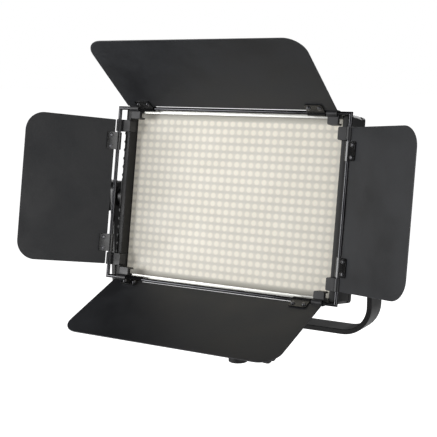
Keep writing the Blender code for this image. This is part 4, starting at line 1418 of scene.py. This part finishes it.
@dataclass
class TiltPivot:
    """One pivot: the block on the case, the washer and the lock knob outside the leg."""

    side: str
    sign: int
    leg_face: float = 0.1973
    washer_seat: float = 0.1887
    knob_radius: float = 0.0235
    knob_hollow: float = 0.0030
    knob_lobes: int = 8

    def build(self) -> None:
        """Build the pivot from the case out to the knob."""
        name, sign = self.side, self.sign
        out = Matrix.Rotation(sign * math.pi / 2, 4, "Y")
        node_copy(f"pivot_block_{name}").finish(
            f"pivot_boss_{name}", "panel", "case_plastic", [Coat.CASE],
            (f"pivot_block_{name}",), edge=0.0006)
        washer = turned([(SCREW_HOLE, 0.0015), (0.0145, 0.0015), (0.0150, 0.0011),
                         (0.0150, 0.0004), (0.0145, 0.0), (SCREW_HOLE, 0.0),
                         (SCREW_HOLE, 0.0015)], 48)
        Shape().add(washer).finish(f"pivot_washer_{name}", "panel", "rubber_parts",
                                   [Coat.RUBBER], (f"friction_washer_{name}",),
                                   TILT @ at(sign * self.washer_seat, 0, 0) @ out)
        rings = [(0.0040, 0.60), (0.0046, 0.84), (0.0054, 0.93), (0.0070, 0.985), (0.0090, 1.0),
                 (0.0122, 1.0), (0.0143, 0.975), (0.0155, 0.92), (0.0162, 0.82), (0.0165, 0.66),
                 (0.0164, 0.56), (0.0156, 0.54), (0.0156, 0.20)]
        knob = Shape().add(lobed_grip(self.knob_radius, self.knob_hollow, self.knob_lobes, rings))
        knob.add(turned([(0.0045, 0.0), (0.0105, 0.0), (0.0110, 0.0005), (0.0110, 0.0048),
                         (0.0045, 0.0048)], 40))
        knob.add(plate(0.0016, 0.0050, 0.0005, 0.0006), Matrix.Rotation(
            sign * math.pi / 2, 4, "Z") @ at(0, 0.0170, 0.0162), 1)
        lock = f"tilt_lock_{name}"
        seat = TILT @ at(sign * self.leg_face, 0, 0) @ out
        knob.finish(f"tilt_grip_{name}", lock, "knob_plastic", [Coat.GRIP, Coat.RED_MARK],
                    (f"tilt_knob_{name}",), seat)
        Bracket.thread(-0.024, 0.0122).finish(f"tilt_thread_{name}", lock, "zinc_steel",
                                              [Coat.ZINC], (f"tilt_screw_{name}",), seat)


# ---- studio --------------------------------------------------------------------
@dataclass
class Studio:
    """The pale floor, the soft lamps and the camera."""

    floor_height: float = -0.30
    camera_place: tuple[float, float, float] = (0.6442, -1.1379, 0.3968)
    right: tuple[float, float, float] = (0.86039, 0.50963, -0.00203)
    forward: tuple[float, float, float] = (-0.50393, 0.85017, -0.15252)
    lens: float = 82.38
    sky: str = "#ffffff"
    ambient: float = 0.12

    def build(self) -> None:
        """Lay the floor, hang the lamps and stand the camera."""
        self.floor()
        world = bpy.data.worlds.new("studio_white")
        world.use_nodes = True
        world.node_tree.nodes.clear()
        ray = add_node(world.node_tree, "ShaderNodeLightPath")
        strength = add_node(world.node_tree, "ShaderNodeMapRange",
                            {"Value": ray.outputs["Is Camera Ray"], "To Min": self.ambient,
                             "To Max": 1.0})
        sky = add_node(world.node_tree, "ShaderNodeBackground",
                       {"Color": linear(self.sky), "Strength": strength.outputs["Result"]})
        add_node(world.node_tree, "ShaderNodeOutputWorld", {"Surface": sky.outputs[0]})
        bpy.context.scene.world = world
        bpy.context.scene.view_settings.view_transform = "Standard"
        target = (0, 0, 0.22)
        self.lamp("key_lamp", (-1.3, -1.5, 0.40), target, 1.0, 26.0)
        self.lamp("fill_lamp", (1.6, -1.0, 0.40), target, 1.0, 9.5)
        self.lamp("rim_lamp", (0.3, 1.5, 1.2), target, 1.2, 20.0)
        self.camera()

    def floor(self) -> None:
        """Lay one pale sheet as the floor."""
        bm = bmesh.new()
        bmesh.ops.create_grid(bm, x_segments=1, y_segments=1, size=20.0,
                              matrix=at(0, 0, self.floor_height))
        mesh = bpy.data.meshes.new("studio_floor")
        bm.to_mesh(mesh)
        bm.free()
        floor = bpy.data.objects.new("studio_floor", mesh)
        paper = LitPaper("matt_background_paper", "#d6d6d6", "#d3d3d3", 0.9, drift_mm=400.0,
                         grain_mm=4.0, grain_height_mm=0.02)
        mesh.materials.append(paper.material())
        bpy.context.scene.collection.objects.link(floor)

    def lamp(self, name: str, place: tuple, target: tuple, size: float, power: float) -> None:
        """Hang one square soft lamp that points at the light.

        Args:
            name: the lamp's name.
            place: where it hangs.
            target: what it points at.
            size: the length of its side.
            power: its power in watts.
        """
        data = bpy.data.lights.new(name, "AREA")
        data.size = size
        data.energy = power
        lamp = bpy.data.objects.new(name, data)
        lamp.location = place
        lamp.rotation_euler = (Vector(target) - Vector(place)).to_track_quat("-Z", "Y").to_euler()
        bpy.context.scene.collection.objects.link(lamp)

    def camera(self) -> None:
        """Stand the camera a little right of the face and above it."""
        data = bpy.data.cameras.new("camera")
        data.lens = self.lens
        data.sensor_width = 36.0
        data.clip_start, data.clip_end = 0.05, 60.0
        camera = bpy.data.objects.new("camera", data)
        right, forward = Vector(self.right).normalized(), Vector(self.forward).normalized()
        turn = Matrix((right, right.cross(forward), -forward)).transposed().to_4x4()
        camera.matrix_world = at(*self.camera_place) @ turn
        bpy.context.scene.collection.objects.link(camera)
        bpy.context.scene.camera = camera


def main() -> None:
    """Build the light and its studio."""
    logging.basicConfig(level=logging.INFO, format="%(name)s: %(message)s")
    long_door = {"reach": 0.1338, "half_length": 0.1536, "taper": 0.0023, "hinge_place": 0.1252}
    side_door = {"reach": 0.1304, "half_length": 0.0985, "taper": 0.0015, "hinge_place": 0.0695}
    for side in Side:
        BarnDoor(side, **(long_door if side.long else side_door)).build()
    RodFrame().build()
    Case().build()
    LightEngine().build()
    Controls().build()
    for side, sign in (("left", -1), ("right", 1)):
        BatteryMount(side, sign).build()
        TiltPivot(side, sign).build()
    Bracket().build()
    Studio().build()


if __name__ == "__main__":
    main()
